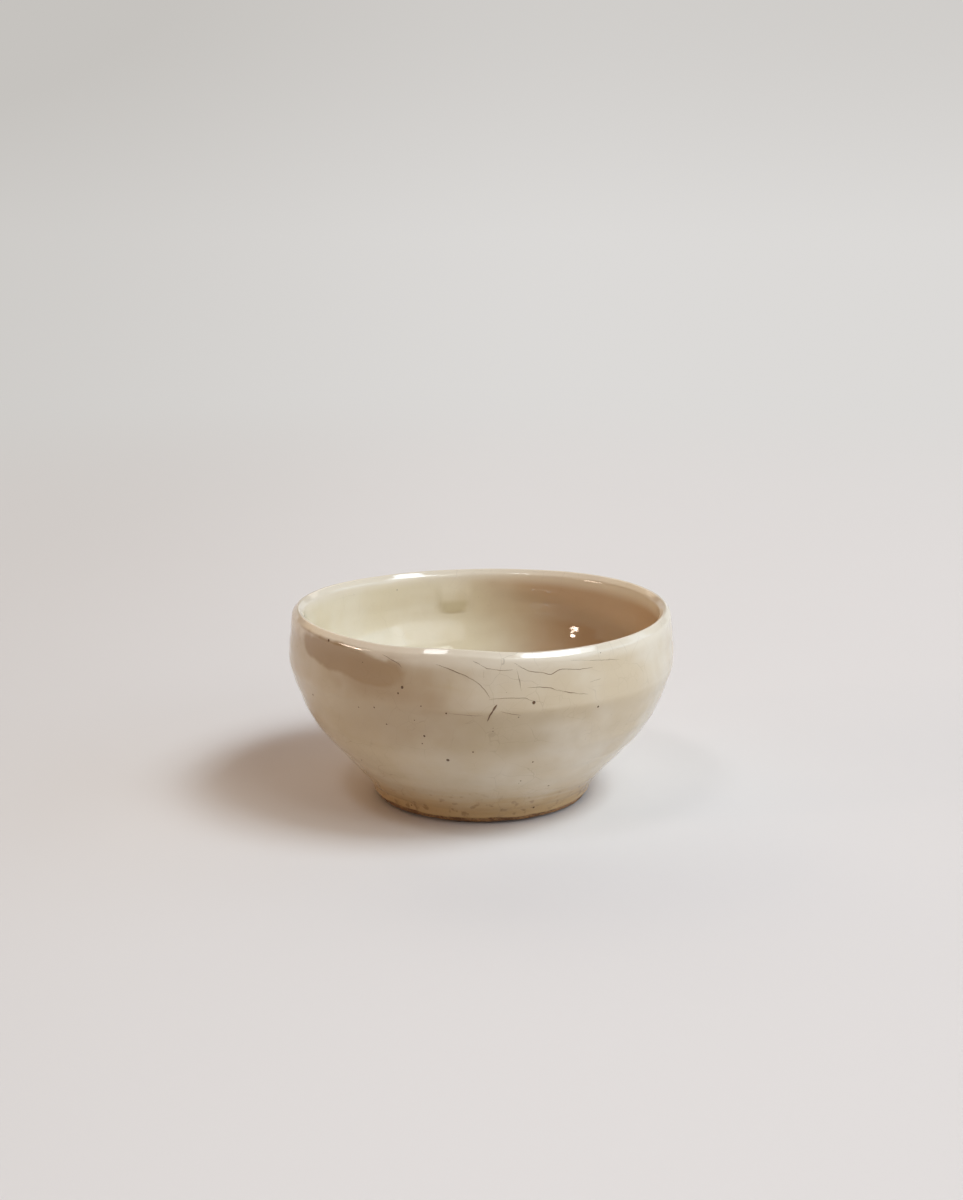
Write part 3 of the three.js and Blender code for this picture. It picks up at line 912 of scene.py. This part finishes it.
    # Crackle lines show where tea has soaked in, less so in the lining
    stained = []
    for crack, tea in (("crackle", "tea"), ("fine crackle", "fine tea")):
        stained.append(add_node(tree, "ShaderNodeMath", {0: shares[crack], 1: shares[tea]},
                                operation="MULTIPLY"))
    lines = add_node(tree, "ShaderNodeMath", {0: stained[0], 1: stained[1]},
                     operation="MAXIMUM")
    lines = add_node(tree, "ShaderNodeMath", {0: lines, 1: shares["less inside"]},
                     operation="MULTIPLY")

    # The coat itself, cream and warmer where it is thicker, outside and inside
    coats = []
    for outside, inside in ((c.glaze_cream, c.lining_cream), (c.glaze_warm, c.lining_warm)):
        coats.append(add_node(tree, "ShaderNodeMix",
                              {"Factor": values["lining"], "A": (*outside, 1.0),
                               "B": (*inside, 1.0)}, data_type="RGBA"))
    thick = add_node(tree, "ShaderNodeMath", {0: shares["coat"], 1: shares["mottle"]},
                     operation="MAXIMUM")
    body = add_node(tree, "ShaderNodeMix", {"Factor": thick, "A": coats[0], "B": coats[1]},
                    data_type="RGBA")

    # What lies over it, first to last: a colour, and the shares that are multiplied. Painted
    # shade darkens the lining on its right, where the rim's shadow falls, and the outside on its
    # left, away from the light. Painted shade on the band below the belly, which faces down, has
    # a crisp edge above and a soft one below. Clay shows through at the foot.
    outer, foot = values["outer"], shares["foot"]
    for tone, factor, *others in (
            (c.lining_shade, values["lining"], shares["right lining shade"]),
            (c.glaze_painted_shade, outer, shares["left shade"]),
            (c.glaze_painted_shade, outer, shares["below band top"], shares["above band foot"],
             shares["wiped"], shares["band shade side"]),
            # Thin glaze over the lip, with painted light on its top
            (c.glaze_lip_thin_and_lit, shares["lip"]),
            (c.glaze_foot, foot, 0.95),
            (c.clay_dark, foot, shares["grit"]),
            # Painted shade patches, on the front half only
            *((c.glaze_shade_patch, outer, values["front"], patch) for patch in shade_patches),
            (c.glaze_olive, values["pool"], 0.6),
            (c.crackle_stain, lines),
            (c.iron, shares["iron"], with_iron)):
        for other in others:
            factor = add_node(tree, "ShaderNodeMath", {0: factor, 1: other},
                              operation="MULTIPLY")
        body = add_node(tree, "ShaderNodeMix",
                        {"Factor": factor, "A": body, "B": (*tone, 1.0)},
                        data_type="RGBA")
    tree.links.new(body, shader.inputs["Base Color"])
    shader.inputs["IOR"].default_value = GLAZE_IOR
    rough = add_node(tree, "ShaderNodeMath", {0: lines, 1: 0.25, 2: shares["gloss"]},
                     operation="MULTIPLY_ADD")
    tree.links.new(rough, shader.inputs["Roughness"])

    # A skin that is never quite even, and lines that are sunk a hair
    swell = add_node(tree, "ShaderNodeBump",
                     {"Height": values["skin"], "Distance": 0.03 * MM, "Strength": 1.0})
    sunk = add_node(tree, "ShaderNodeBump",
                    {"Height": lines, "Distance": 0.02 * MM, "Strength": 1.0,
                     "Normal": swell}, invert=True)
    tree.links.new(sunk, shader.inputs["Normal"])
    return material


def clay_material(name, light, dark, grit_width, roughness, bump):
    """Fired clay left bare: a dry, matt surface whose grit shows as dark grains.

    Real grit is 0.1 to 0.3 mm wide. It is drawn a little coarser, so that it shows.
    """
    material, tree, shader, place = new_material(name)
    cloud = add_node(tree, "ShaderNodeTexNoise",
                     {"Vector": place, "Scale": 1 / (6 * MM), "Detail": 4.0})
    grains = add_node(tree, "ShaderNodeTexNoise",
                      {"Vector": place, "Scale": 1 / grit_width, "Detail": 3.0})
    share = add_node(tree, "ShaderNodeMath", {0: cloud, 1: grains}, operation="MULTIPLY")
    share = add_node(tree, "ShaderNodeMapRange",
                     {"Value": share, "From Min": 0.2, "From Max": 0.4})
    blend = add_node(tree, "ShaderNodeMix",
                     {"Factor": share, "A": (*dark, 1.0), "B": (*light, 1.0)},
                     data_type="RGBA")
    tree.links.new(blend, shader.inputs["Base Color"])
    shader.inputs["Roughness"].default_value = roughness
    shader.inputs["IOR"].default_value = CLAY_IOR
    rough = add_node(tree, "ShaderNodeBump",
                     {"Height": grains, "Distance": bump, "Strength": 1.0})
    tree.links.new(rough, shader.inputs["Normal"])
    return material


def stain_material(name, tone, halo, roughness):
    """Mineral stain in the glaze: dark at its heart, browner where it has bled."""
    material, tree, shader, place = new_material(name)
    bleed = add_node(tree, "ShaderNodeTexNoise",
                     {"Vector": place, "Scale": 1 / (0.3 * MM), "Detail": 2.0})
    blend = add_node(tree, "ShaderNodeMix",
                     {"Factor": bleed, "A": (*tone, 1.0), "B": (*halo, 1.0)},
                     data_type="RGBA")
    tree.links.new(blend, shader.inputs["Base Color"])
    shader.inputs["Roughness"].default_value = roughness
    shader.inputs["IOR"].default_value = CLAY_IOR
    return material


def paper_material(name, tone, tooth_tone, far_tone, dim_tone):
    """Matt white paper: no shine, and an evenness that is only faintly broken.

    The real tooth is far too fine to show, so it is drawn as clouds 60 mm wide. Near the
    cup the paper is lit and keeps the shadow. Far from it the eye sees a pale tone that
    dims towards the side away from the window.
    """
    material, tree, shader, place = new_material(name)
    tooth = add_node(tree, "ShaderNodeTexNoise",
                     {"Vector": place, "Scale": 1 / (60 * MM), "Detail": 2.0})
    share = add_node(tree, "ShaderNodeMapRange", {"Value": tooth, "To Max": 0.04})
    shade = add_node(tree, "ShaderNodeMix",
                     {"Factor": share, "A": (*tone, 1.0), "B": (*tooth_tone, 1.0)},
                     data_type="RGBA")

    # Painted shade: the lit paper is darker towards the left of the cup, away from the window
    parts = add_node(tree, "ShaderNodeSeparateXYZ", {0: place}).node.outputs
    left = add_node(tree, "ShaderNodeMapRange",
                    {"Value": parts["X"], "From Min": 20 * MM, "From Max": -160 * MM,
                     "To Max": 0.45}, interpolation_type="SMOOTHSTEP")
    shade = add_node(tree, "ShaderNodeMix",
                     {"Factor": left, "A": shade, "B": (*dim_tone, 1.0)},
                     data_type="RGBA")
    tree.links.new(shade, shader.inputs["Base Color"])
    shader.inputs["Roughness"].default_value = 0.9
    shader.inputs["Specular IOR Level"].default_value = 0.1

    # The far tone dims to the left and upwards, but not so far left that it would show
    # as an edge in front of the horizon. All these are metres, or metres over metres.
    depth = add_node(tree, "ShaderNodeMath", {0: parts["Y"], 1: 0.5}, operation="ADD")
    depth = add_node(tree, "ShaderNodeMath", {0: depth, 1: 0.2}, operation="MAXIMUM")
    slant = add_node(tree, "ShaderNodeMath", {0: parts["X"], 1: depth}, operation="DIVIDE")
    dims = []
    for value, start, end, most in ((slant, 0.08, -0.32, 0.6), (parts["Z"], -0.3, 0.9, 0.6),
                                    (slant, -0.7, -0.3, 1.0)):
        dims.append(add_node(tree, "ShaderNodeMapRange",
                             {"Value": value, "From Min": start, "From Max": end,
                              "To Max": most}, interpolation_type="SMOOTHSTEP"))
    dim = add_node(tree, "ShaderNodeMath", {0: dims[0], 1: dims[1]}, operation="ADD",
                   use_clamp=True)
    dim = add_node(tree, "ShaderNodeMath", {0: dim, 1: dims[2]}, operation="MULTIPLY")
    seen_tone = add_node(tree, "ShaderNodeMix",
                         {"Factor": dim, "A": (*far_tone, 1.0), "B": (*dim_tone, 1.0)},
                         data_type="RGBA")
    pale = add_node(tree, "ShaderNodeEmission", {"Color": seen_tone, "Strength": 1.0})
    far = add_node(tree, "ShaderNodeVectorMath", {0: place}, operation="LENGTH")
    far = add_node(tree, "ShaderNodeMapRange",
                   {"Value": far, "From Min": 0.12, "From Max": 0.7},
                   interpolation_type="SMOOTHSTEP")
    rays = add_node(tree, "ShaderNodeLightPath").node.outputs
    seen = rays["Is Camera Ray"]
    for ray in ("Is Glossy Ray", "Is Transmission Ray"):
        seen = add_node(tree, "ShaderNodeMath", {0: seen, 1: rays[ray]},
                        operation="MAXIMUM")
    seen = add_node(tree, "ShaderNodeMath", {0: seen, 1: far}, operation="MULTIPLY")
    both = add_node(tree, "ShaderNodeMixShader", {0: seen, 1: shader.outputs[0], 2: pale})
    output = next(node for node in tree.nodes if node.type == "OUTPUT_MATERIAL")
    tree.links.new(both, output.inputs["Surface"])
    return material


# Pieces

def thrown(name, points, face, material, lining=lambda index: 0.0, **values):
    """A piece turned from its outline by the thrown form tree."""
    s = bpy.context.scene.cup_sizes
    tree = bpy.data.node_groups.get("Thrown form") or thrown_form_tree()
    given = {
        "Segments": SEGMENTS, "Belly Radius": s.belly_radius, "Oval": s.oval,
        "Seat Height": seat_height(s), "Lip Height": s.clay_height, "Lip Dip": s.lip_dip,
        "Lip High Turn": s.lip_high_turn, "Centre Radius": STILL_CENTRE,
        "Wave Depth": 0.0, "Wave Width": WAVE_WIDTH,
        "Grit Depth": 0.0, "Grit Width": 1 * MM, "Ripple Depth": 0.0,
        "Ripple Pitch": s.ripple_pitch, "Run Turn": s.run_turn,
        "Run Width": s.run_width, "Run Top": s.run_top, "Run Bottom": s.run_bottom,
        "Run Thickness": 0.0, "Edge Wander": 0.0,
        "Edge Height": s.bevel_height + s.bare_band,
        "Swell": 0.0, "Swell Turn": s.swell_turn, "Swell Width": s.swell_width,
        "Swell Depth": s.lip_roll * 1.5, "Material": material,
    }
    given.update(values)
    return piece_from_tree(name, outline_mesh(name, points, face, lining), tree, given)


def settle(piece, slot, *nodes):
    """Puts a finished piece on its body, and hides the nodes that it stands for. Its slot, the
    name of its finish, is not used.
    """
    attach(piece, BODY)
    if nodes:
        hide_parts(*nodes)


def glazed_clay(s):
    """All the clay that the outer coat and the lining lie on, from the foot to the floor."""
    lower, upper = bowl_outside(s)
    return [*foot_side(s), *worked(s, [*lower, *upper]), *bowl_hollow(s, upper)]


class CUP_OT_throw_bowl(bpy.types.Operator):
    """Make the clay bowl that the glaze lies on"""

    bl_idname = "cup.throw_bowl"
    bl_label = "Throw the bowl"

    def execute(self, context):
        s, c = context.scene.cup_sizes, context.scene.cup_colours
        # Porcelain, fired white and dense: smooth, matt and warm white
        clay = clay_material("fired_porcelain", c.clay_white,
                             [tone * 0.9 for tone in c.clay_white],
                             grit_width=0.5 * MM, roughness=0.6, bump=0.01 * MM)
        lower, upper = bowl_outside(s)
        hollow = bowl_hollow(s, upper)
        outline = [*reversed(well_ceiling(s)), *worked(s, [*lower, *upper])[::2],
                   *hollow[::2], hollow[-1]]
        bowl = thrown("bowl_clay", without_repeats(outline), lambda index: 0.0, clay,
                      **{"Segments": PLAIN_SEGMENTS, "Swell": s.swell})
        settle(bowl, "porcelain_body", "bowl_body")
        return {"FINISHED"}


class CUP_OT_lute_foot(bpy.types.Operator):
    """Make the foot ring, flat where it stands and bare at its edge, and finish the slip"""

    bl_idname = "cup.lute_foot"
    bl_label = "Lute the foot"

    def execute(self, context):
        s, c = context.scene.cup_sizes, context.scene.cup_colours
        # Porcelain wiped clean of glaze and toasted by the kiln: dry, brown and gritty
        toasted = clay_material("toasted_bare_clay", c.clay_toasted, c.clay_dark,
                                grit_width=0.45 * MM, roughness=0.9, bump=0.06 * MM)
        well_foot = well_radius(s) + s.well_draft
        inner, outer = well_foot + s.arris, s.foot_radius - s.bevel_width
        well_edge, well_top = well_side(s)
        bevel_steps = 12
        bevel = []
        for step in range(1, bevel_steps + 1):
            turn = math.pi / 2 * step / bevel_steps
            bevel.append(spot(outer + s.bevel_width * math.sin(turn),
                              s.bevel_height * (1 - math.cos(turn))))
        outline = [
            spot(inner, 0), *between(spot(inner, 0), spot(outer, 0), 4), *bevel,
            *foot_side(s, 8), *between(foot_side(s)[-1], well_top, 3),
            *between(well_top, well_edge, 4),
            *between(well_edge, spot(well_foot, s.arris), 3), spot(inner, 0),
        ]
        outline = without_repeats(outline)

        def worn(index):
            """1 on the bare edge, which shows and is worn, and 0 elsewhere."""
            point = outline[index]
            on_bevel = 0 < point.z < s.bevel_height + s.bare_band and point.x > outer
            return 1.0 if on_bevel else 0.0

        foot = thrown("foot_ring_clay", outline, worn, toasted,
                      **{"Grit Depth": 0.22 * MM, "Grit Width": 0.9 * MM,
                         "Wave Depth": 0.2 * MM, "Wave Width": 4 * MM})
        settle(foot, "bare_foot_clay", "foot_ring")

        # Slip of the bowl's own clay, brushed on wet and fired in the joint: matt cream
        slip = clay_material("fired_slip", c.slip_cream,
                             [tone * 0.85 for tone in c.slip_cream],
                             grit_width=0.5 * MM, roughness=0.8, bump=0.02 * MM)
        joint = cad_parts["foot_slip"]
        joint.data.materials.clear()
        joint.data.materials.append(slip)
        return {"FINISHED"}


class CUP_OT_pour_glaze(bpy.types.Operator):
    """Make the glaze: one skin from the foot over the lip to the floor, and the well's"""

    bl_idname = "cup.pour_glaze"
    bl_label = "Pour the glaze"

    def execute(self, context):
        s, c = context.scene.cup_sizes, context.scene.cup_colours
        glaze = glaze_material("crackled_cream_glaze", s, c)
        clay = glazed_clay(s)

        def rolled(index):
            """The thickness of the coat, which rolls off at its lower edge."""
            share = min((clay[index] - clay[0]).length / s.glaze_roll, 1)
            return s.glaze * math.sqrt(1 - (1 - share) ** 2)

        face = offset(clay, rolled)
        # The back lies on the clay and is coarser
        back = [clay[-1], *reversed(clay[1:-1:4]), clay[0]]
        last = len(face) - 1

        def shown(index):
            """1 on the face, fading in at its edge, and 0 on the back, which isn't seen."""
            return 0.0 if index > last else min(index / EDGE_POINTS, 1.0)

        crest = max(range(last), key=lambda index: face[index].z)

        def lined(index):
            """1 in the lining, which comes in below the crest of the lip."""
            if not crest < index <= last:
                return 0.0
            return min((face[crest].z - face[index].z) / LINING_EDGE, 1.0)

        skin = thrown("cream_glaze", [*face, *back], shown, glaze, lined,
                      **{"Wave Depth": s.unevenness, "Ripple Depth": s.ripple,
                         "Run Thickness": s.run_proud, "Edge Wander": EDGE_WANDER,
                         "Swell": s.swell})
        settle(skin, "crackle_glaze", "outer_glaze", "inner_glaze")

        edge, top = well_side(s)
        shoulder = spot(edge.x - s.glaze, edge.z + s.glaze_roll)
        corner = spot(well_radius(s) - s.glaze, seat_height(s) - s.glaze)
        under = offset(well_ceiling(s), lambda index: -s.glaze)[2:]
        under.reverse()
        outline = [*under, *between(under[-1], corner, 2), *between(corner, shoulder, 4),
                   *between(shoulder, edge, 2), *between(edge, top, 3), *well_ceiling(s)]
        outline = without_repeats(outline)
        pooled = len(under)
        well = thrown("well_glaze", outline, lambda index: 1.0 if index < pooled else 0.0,
                      glaze, **{"Segments": PLAIN_SEGMENTS, "Ripple Depth": s.ripple,
                                "Wave Depth": 0.1 * MM, "Wave Width": 9 * MM})
        settle(well, "crackle_glaze", "foot_well_glaze")
        return {"FINISHED"}


# Marks: random specks on a square metre, and where the larger ones lie, as a turn from +X
# in degrees, a height and a radius in millimetres
SPECK_DENSITY = 4500.0
CHOSEN_SPECKS = [
    (-75.7, 26.5, 0.32), (-112.1, 28.7, 0.27), (-113.3, 27.6, 0.17), (-121.1, 24.4, 0.16),
    (-126.8, 23.8, 0.13), (-118.0, 21.5, 0.15), (-106.6, 20.1, 0.22), (-107.6, 18.6, 0.13),
    (-100.4, 15.6, 0.32), (-148.5, 23.2, 0.20), (-106.6, 25.8, 0.12), (-108.9, 23.0, 0.10),
    (-99.6, 24.8, 0.16), (-55.8, 24.3, 0.20), (-86.8, 21.5, 0.10), (-92.5, 17.5, 0.16),
    (-73.7, 14.9, 0.16), (-75.7, 10.4, 0.15), (-37.8, 4.9, 0.25), (-63.4, 2.7, 0.22),
    (-62.2, 8.0, 0.18), (157.3, 34.6, 0.24), (149.0, 34.6, 0.22), (-139.1, 34.2, 0.24),
]

# The darker crackle lines: a width in millimetres, and a chain of turns and heights
CHOSEN_CRACKS = [
    (0.13, [(-102.4, 33.0), (-99.7, 32.5), (-97.7, 32.1), (-94.0, 31.2), (-91.6, 30.4),
            (-90.2, 29.7), (-88.6, 28.5), (-87.7, 27.6)]),
    (0.11, [(-92.4, 33.7), (-90.4, 33.1), (-88.6, 32.4), (-85.0, 32.1), (-81.4, 32.2)]),
    (0.11, [(-81.1, 33.4), (-79.0, 32.5), (-76.7, 31.8), (-73.9, 31.5), (-70.5, 30.9),
            (-69.1, 31.4), (-67.1, 31.7), (-64.0, 31.4), (-60.3, 31.2), (-57.5, 31.2)]),
    (0.10, [(-80.3, 32.3), (-79.9, 31.1), (-79.4, 29.6), (-79.1, 28.6)]),
    (0.06, [(-89.4, 32.2), (-89.2, 30.6)]),
    (0.11, [(-77.3, 29.1), (-74.0, 29.1), (-70.6, 28.7), (-66.7, 27.8), (-62.1, 27.2),
            (-59.4, 26.9)]),
    (0.09, [(-88.1, 27.3), (-85.0, 27.5), (-81.4, 27.5), (-77.7, 27.3), (-75.9, 26.8),
            (-73.0, 26.4)]),
    (0.07, [(-64.5, 33.0), (-55.0, 32.3), (-48.0, 31.6)]),
    (0.12, [(-118.6, 33.8), (-116.1, 33.2), (-113.5, 32.6), (-112.4, 32.0)]),
    (0.06, [(-58.8, 28.9), (-55.0, 29.2)]),
    (0.07, [(-99.8, 24.9), (-94.2, 24.6), (-89.6, 24.4)]),
    (0.08, [(-84.9, 25.2), (-81.4, 24.6), (-79.2, 24.4)]),
    (0.34, [(-85.8, 26.3), (-86.6, 25.8), (-87.1, 25.2)]),
    (0.36, [(-86.9, 25.3), (-87.7, 24.5), (-88.4, 23.4)]),
]


def on_wall(s, turn, height):
    """A place near the outer wall at a turn in degrees and a height in millimetres."""
    turn = math.radians(turn)
    lower, upper = bowl_outside(s)
    wall = [*foot_side(s), *lower, *upper]
    radius = min(wall, key=lambda point: abs(point.z - height * MM)).x + s.glaze
    return radius * math.cos(turn), radius * math.sin(turn), height * MM


class CUP_OT_fire_marks(bpy.types.Operator):
    """Make the iron specks and the darker crackle lines that the firing has left"""

    bl_idname = "cup.fire_marks"
    bl_label = "Fire the marks"

    def execute(self, context):
        s, c = context.scene.cup_sizes, context.scene.cup_colours
        skin = bpy.data.objects["cream_glaze"]

        places = bpy.data.meshes.new("chosen_specks")
        places.from_pydata([on_wall(s, turn, height) for turn, height, _ in CHOSEN_SPECKS],
                           [], [])
        sizes = places.attributes.new("size", "FLOAT", "POINT")
        for index, (_, _, radius) in enumerate(CHOSEN_SPECKS):
            sizes.data[index].value = radius * MM
        chosen = bpy.data.objects.new("chosen_specks", places)
        context.scene.collection.objects.link(chosen)
        # Iron from the clay, burnt out through the glaze: near black with a brown rim
        iron = stain_material("burnt_out_iron", c.iron, c.clay_dark, roughness=0.25)
        specks = piece_from_tree("iron_specks", skin.data.copy(), speck_tree(), {
            "Chosen": chosen, "Density": SPECK_DENSITY, "Smallest": 0.05 * MM,
            "Largest": 0.2 * MM, "Flatness": 0.1, "Seed": s.speck_seed, "Material": iron,
        })
        bpy.data.objects.remove(chosen)
        settle(specks, "crackle_glaze")

        points, edges, widths = [], [], []
        for width, chain in CHOSEN_CRACKS:
            start = len(points)
            points += [on_wall(s, turn, height) for turn, height in chain]
            edges += [(link, link + 1) for link in range(start, len(points) - 1)]
            widths += [width * MM] * len(chain)
        paths = bpy.data.meshes.new("crack_paths")
        paths.from_pydata(points, edges, [])
        paths.attributes.new("width", "FLOAT", "POINT").data.foreach_set("value", widths)
        # Tea that has soaked into the crackle: a dull grey-brown line
        stain = stain_material("tea_stained_crackle", c.crackle_stain, c.clay_dark,
                               roughness=0.5)
        lines = piece_from_tree("crackle_lines", paths, crack_tree(), {
            "Skin": skin, "Step": 0.3 * MM,
            "Wander": 0.5 * MM, "Wander Width": 1.6 * MM, "Material": stain,
        })
        settle(lines, "crackle_glaze")
        return {"FINISHED"}


# Stage

# The photograph's view, fitted to the outline
CAMERA_DISTANCE = 300 * MM      # In front of the cup's axis
CAMERA_HEIGHT = 105.8 * MM
CAMERA_TILT = 13.11             # Degrees down
CAMERA_LENS = 50.76             # Millimetres, on the sensor's 36
CAMERA_SENSOR = 36.0
BOX_DISTANCE = 4.0              # Metres from the cup's middle to each soft box
CUP_MIDDLE = 20 * MM            # Height that the soft boxes look at
FLOOR_REACH = 6.0               # Metres from the cup to the edges of the floor
BACKDROP_HEIGHT = 1.2           # Metres


def aimed(place, target):
    """A turn that points an object's -Z axis from a place to a target."""
    return (Vector(target) - Vector(place)).to_track_quat("-Z", "Y").to_euler()


def soft_box(name, turn, rise, spread, share, tone):
    """A soft box that looks at the cup from a turn and a rise in degrees.

    Its spread is the width and height that it has from the cup, in degrees. Its share is
    the light that it gives the floor, where 1 shows a colour as it is written.
    """
    turn, rise = math.radians(turn), math.radians(rise)
    target = Vector((0, 0, CUP_MIDDLE))
    way = Vector((math.cos(turn) * math.cos(rise), math.sin(turn) * math.cos(rise),
                  math.sin(rise)))
    place = target + BOX_DISTANCE * way
    light = bpy.data.lights.new(name, "AREA")
    light.shape = "RECTANGLE"
    light.size, light.size_y = (2 * BOX_DISTANCE * math.tan(math.radians(width) / 2)
                                for width in spread)
    light.energy = share * (math.pi * BOX_DISTANCE) ** 2 / math.sin(rise)
    light.color = tone
    box = bpy.data.objects.new(name, light)
    box.location = place
    box.rotation_euler = aimed(place, target)
    bpy.context.scene.collection.objects.link(box)


# Soft boxes: name, turn from +X and rise in degrees, spread, share of the floor's light, tone
SOFT_BOXES = [
    ("window_light", -18, 60, (24, 12), 0.27, (0.78, 0.9, 1.0)),
    ("window_low", -17, 51, (24, 12), 0.12, (0.75, 0.88, 1.0)),
    ("window_side", -38, 54, (36, 18), 0.22, (0.97, 1.0, 0.97)),
    ("right_wall", 0, 22, (60, 30), 0.11, (0.6, 0.78, 1.0)),
    ("right_front_wall", -50, 22, (50, 30), 0.065, (1.0, 1.0, 1.0)),
    ("back_wall", 90, 38, (60, 36), 0.14, (1.0, 0.91, 0.82)),
    ("left_wall", 135, 32, (40, 30), 0.05, (1.0, 0.75, 0.4)),
    ("warm_ceiling", 190, 52, (50, 30), 0.03, (1.0, 0.4, 0.15)),
    ("lamp_row", -172, 8, (16, 3), 0.02, (1.0, 0.8, 0.65)),
    ("lamp", -159, 18, (4, 3), 0.013, (1.0, 0.8, 0.65)),
    ("small_window", -137, 64, (12, 7), 0.07, (0.95, 0.97, 1.0)),
]


class CUP_OT_set_stage(bpy.types.Operator):
    """Make the pale floor, the soft light and the camera"""

    bl_idname = "cup.set_stage"
    bl_label = "Set the stage"

    def execute(self, context):
        scene = context.scene
        c = scene.cup_colours
        reach, top = FLOOR_REACH, BACKDROP_HEIGHT
        sheet = bpy.data.meshes.new("paper_floor")
        sheet.from_pydata([(-reach, -reach, 0), (reach, -reach, 0), (reach, reach, 0),
                           (-reach, reach, 0), (reach, reach, top), (-reach, reach, top)],
                          [], [(0, 1, 2, 3), (3, 2, 4, 5)])
        sheet.materials.append(paper_material("matt_white_paper", c.paper, c.paper_tooth,
                                              c.paper_far, c.paper_dim))
        floor = bpy.data.objects.new("paper_floor", sheet)
        scene.collection.objects.link(floor)

        for box in SOFT_BOXES:
            soft_box(*box)

        # The room gives a faint warm light, and is seen in the tone of the far floor
        world = bpy.data.worlds.new("dim_room")
        world.use_nodes = True
        tree = world.node_tree
        tree.nodes.clear()
        room = add_node(tree, "ShaderNodeBackground",
                        {"Color": (1.0, 0.45, 0.18, 1.0), "Strength": 0.1})
        pale = add_node(tree, "ShaderNodeBackground", {"Color": (*c.paper_far, 1.0)})
        seen = add_node(tree, "ShaderNodeLightPath").node.outputs["Is Camera Ray"]
        both = add_node(tree, "ShaderNodeMixShader", {0: seen, 1: room, 2: pale})
        add_node(tree, "ShaderNodeOutputWorld", {"Surface": both})
        scene.world = world

        lens = bpy.data.cameras.new("camera")
        lens.lens = CAMERA_LENS
        lens.sensor_width = CAMERA_SENSOR
        lens.clip_start = 0.01
        lens.clip_end = 50.0
        camera = bpy.data.objects.new("camera", lens)
        camera.location = (0, -CAMERA_DISTANCE, CAMERA_HEIGHT)
        camera.rotation_euler = (math.radians(90 - CAMERA_TILT), 0, 0)
        scene.collection.objects.link(camera)
        scene.camera = camera
        scene.view_settings.view_transform = "Standard"
        return {"FINISHED"}


class CUP_PT_panel(bpy.types.Panel):
    """The cup's sizes, colours and makers"""

    bl_idname = "CUP_PT_panel"
    bl_label = "Tea cup"
    bl_space_type = "VIEW_3D"
    bl_region_type = "UI"
    bl_category = "Tea cup"

    def draw(self, context):
        layout = self.layout
        for maker in MAKERS:
            layout.operator(maker.bl_idname)
        for group in (context.scene.cup_sizes, context.scene.cup_colours):
            box = layout.box()
            for name in group.__annotations__:
                box.prop(group, name)


MAKERS = (CUP_OT_throw_bowl, CUP_OT_lute_foot, CUP_OT_pour_glaze, CUP_OT_fire_marks,
          CUP_OT_set_stage)
CLASSES = (CupSizes, CupColours, *MAKERS, CUP_PT_panel)


def register():
    """Registers the classes, and gives the scene its sizes and colours."""
    for entry in CLASSES:
        bpy.utils.register_class(entry)
    bpy.types.Scene.cup_sizes = PointerProperty(type=CupSizes)
    bpy.types.Scene.cup_colours = PointerProperty(type=CupColours)


def unregister():
    """Takes back what register has done."""
    del bpy.types.Scene.cup_colours
    del bpy.types.Scene.cup_sizes
    for entry in reversed(CLASSES):
        bpy.utils.unregister_class(entry)


def main():
    """Makes the cup and its stage."""
    register()
    bpy.ops.cup.throw_bowl()
    bpy.ops.cup.lute_foot()
    bpy.ops.cup.pour_glaze()
    bpy.ops.cup.fire_marks()
    bpy.ops.cup.set_stage()


if __name__ == "__main__":
    main()
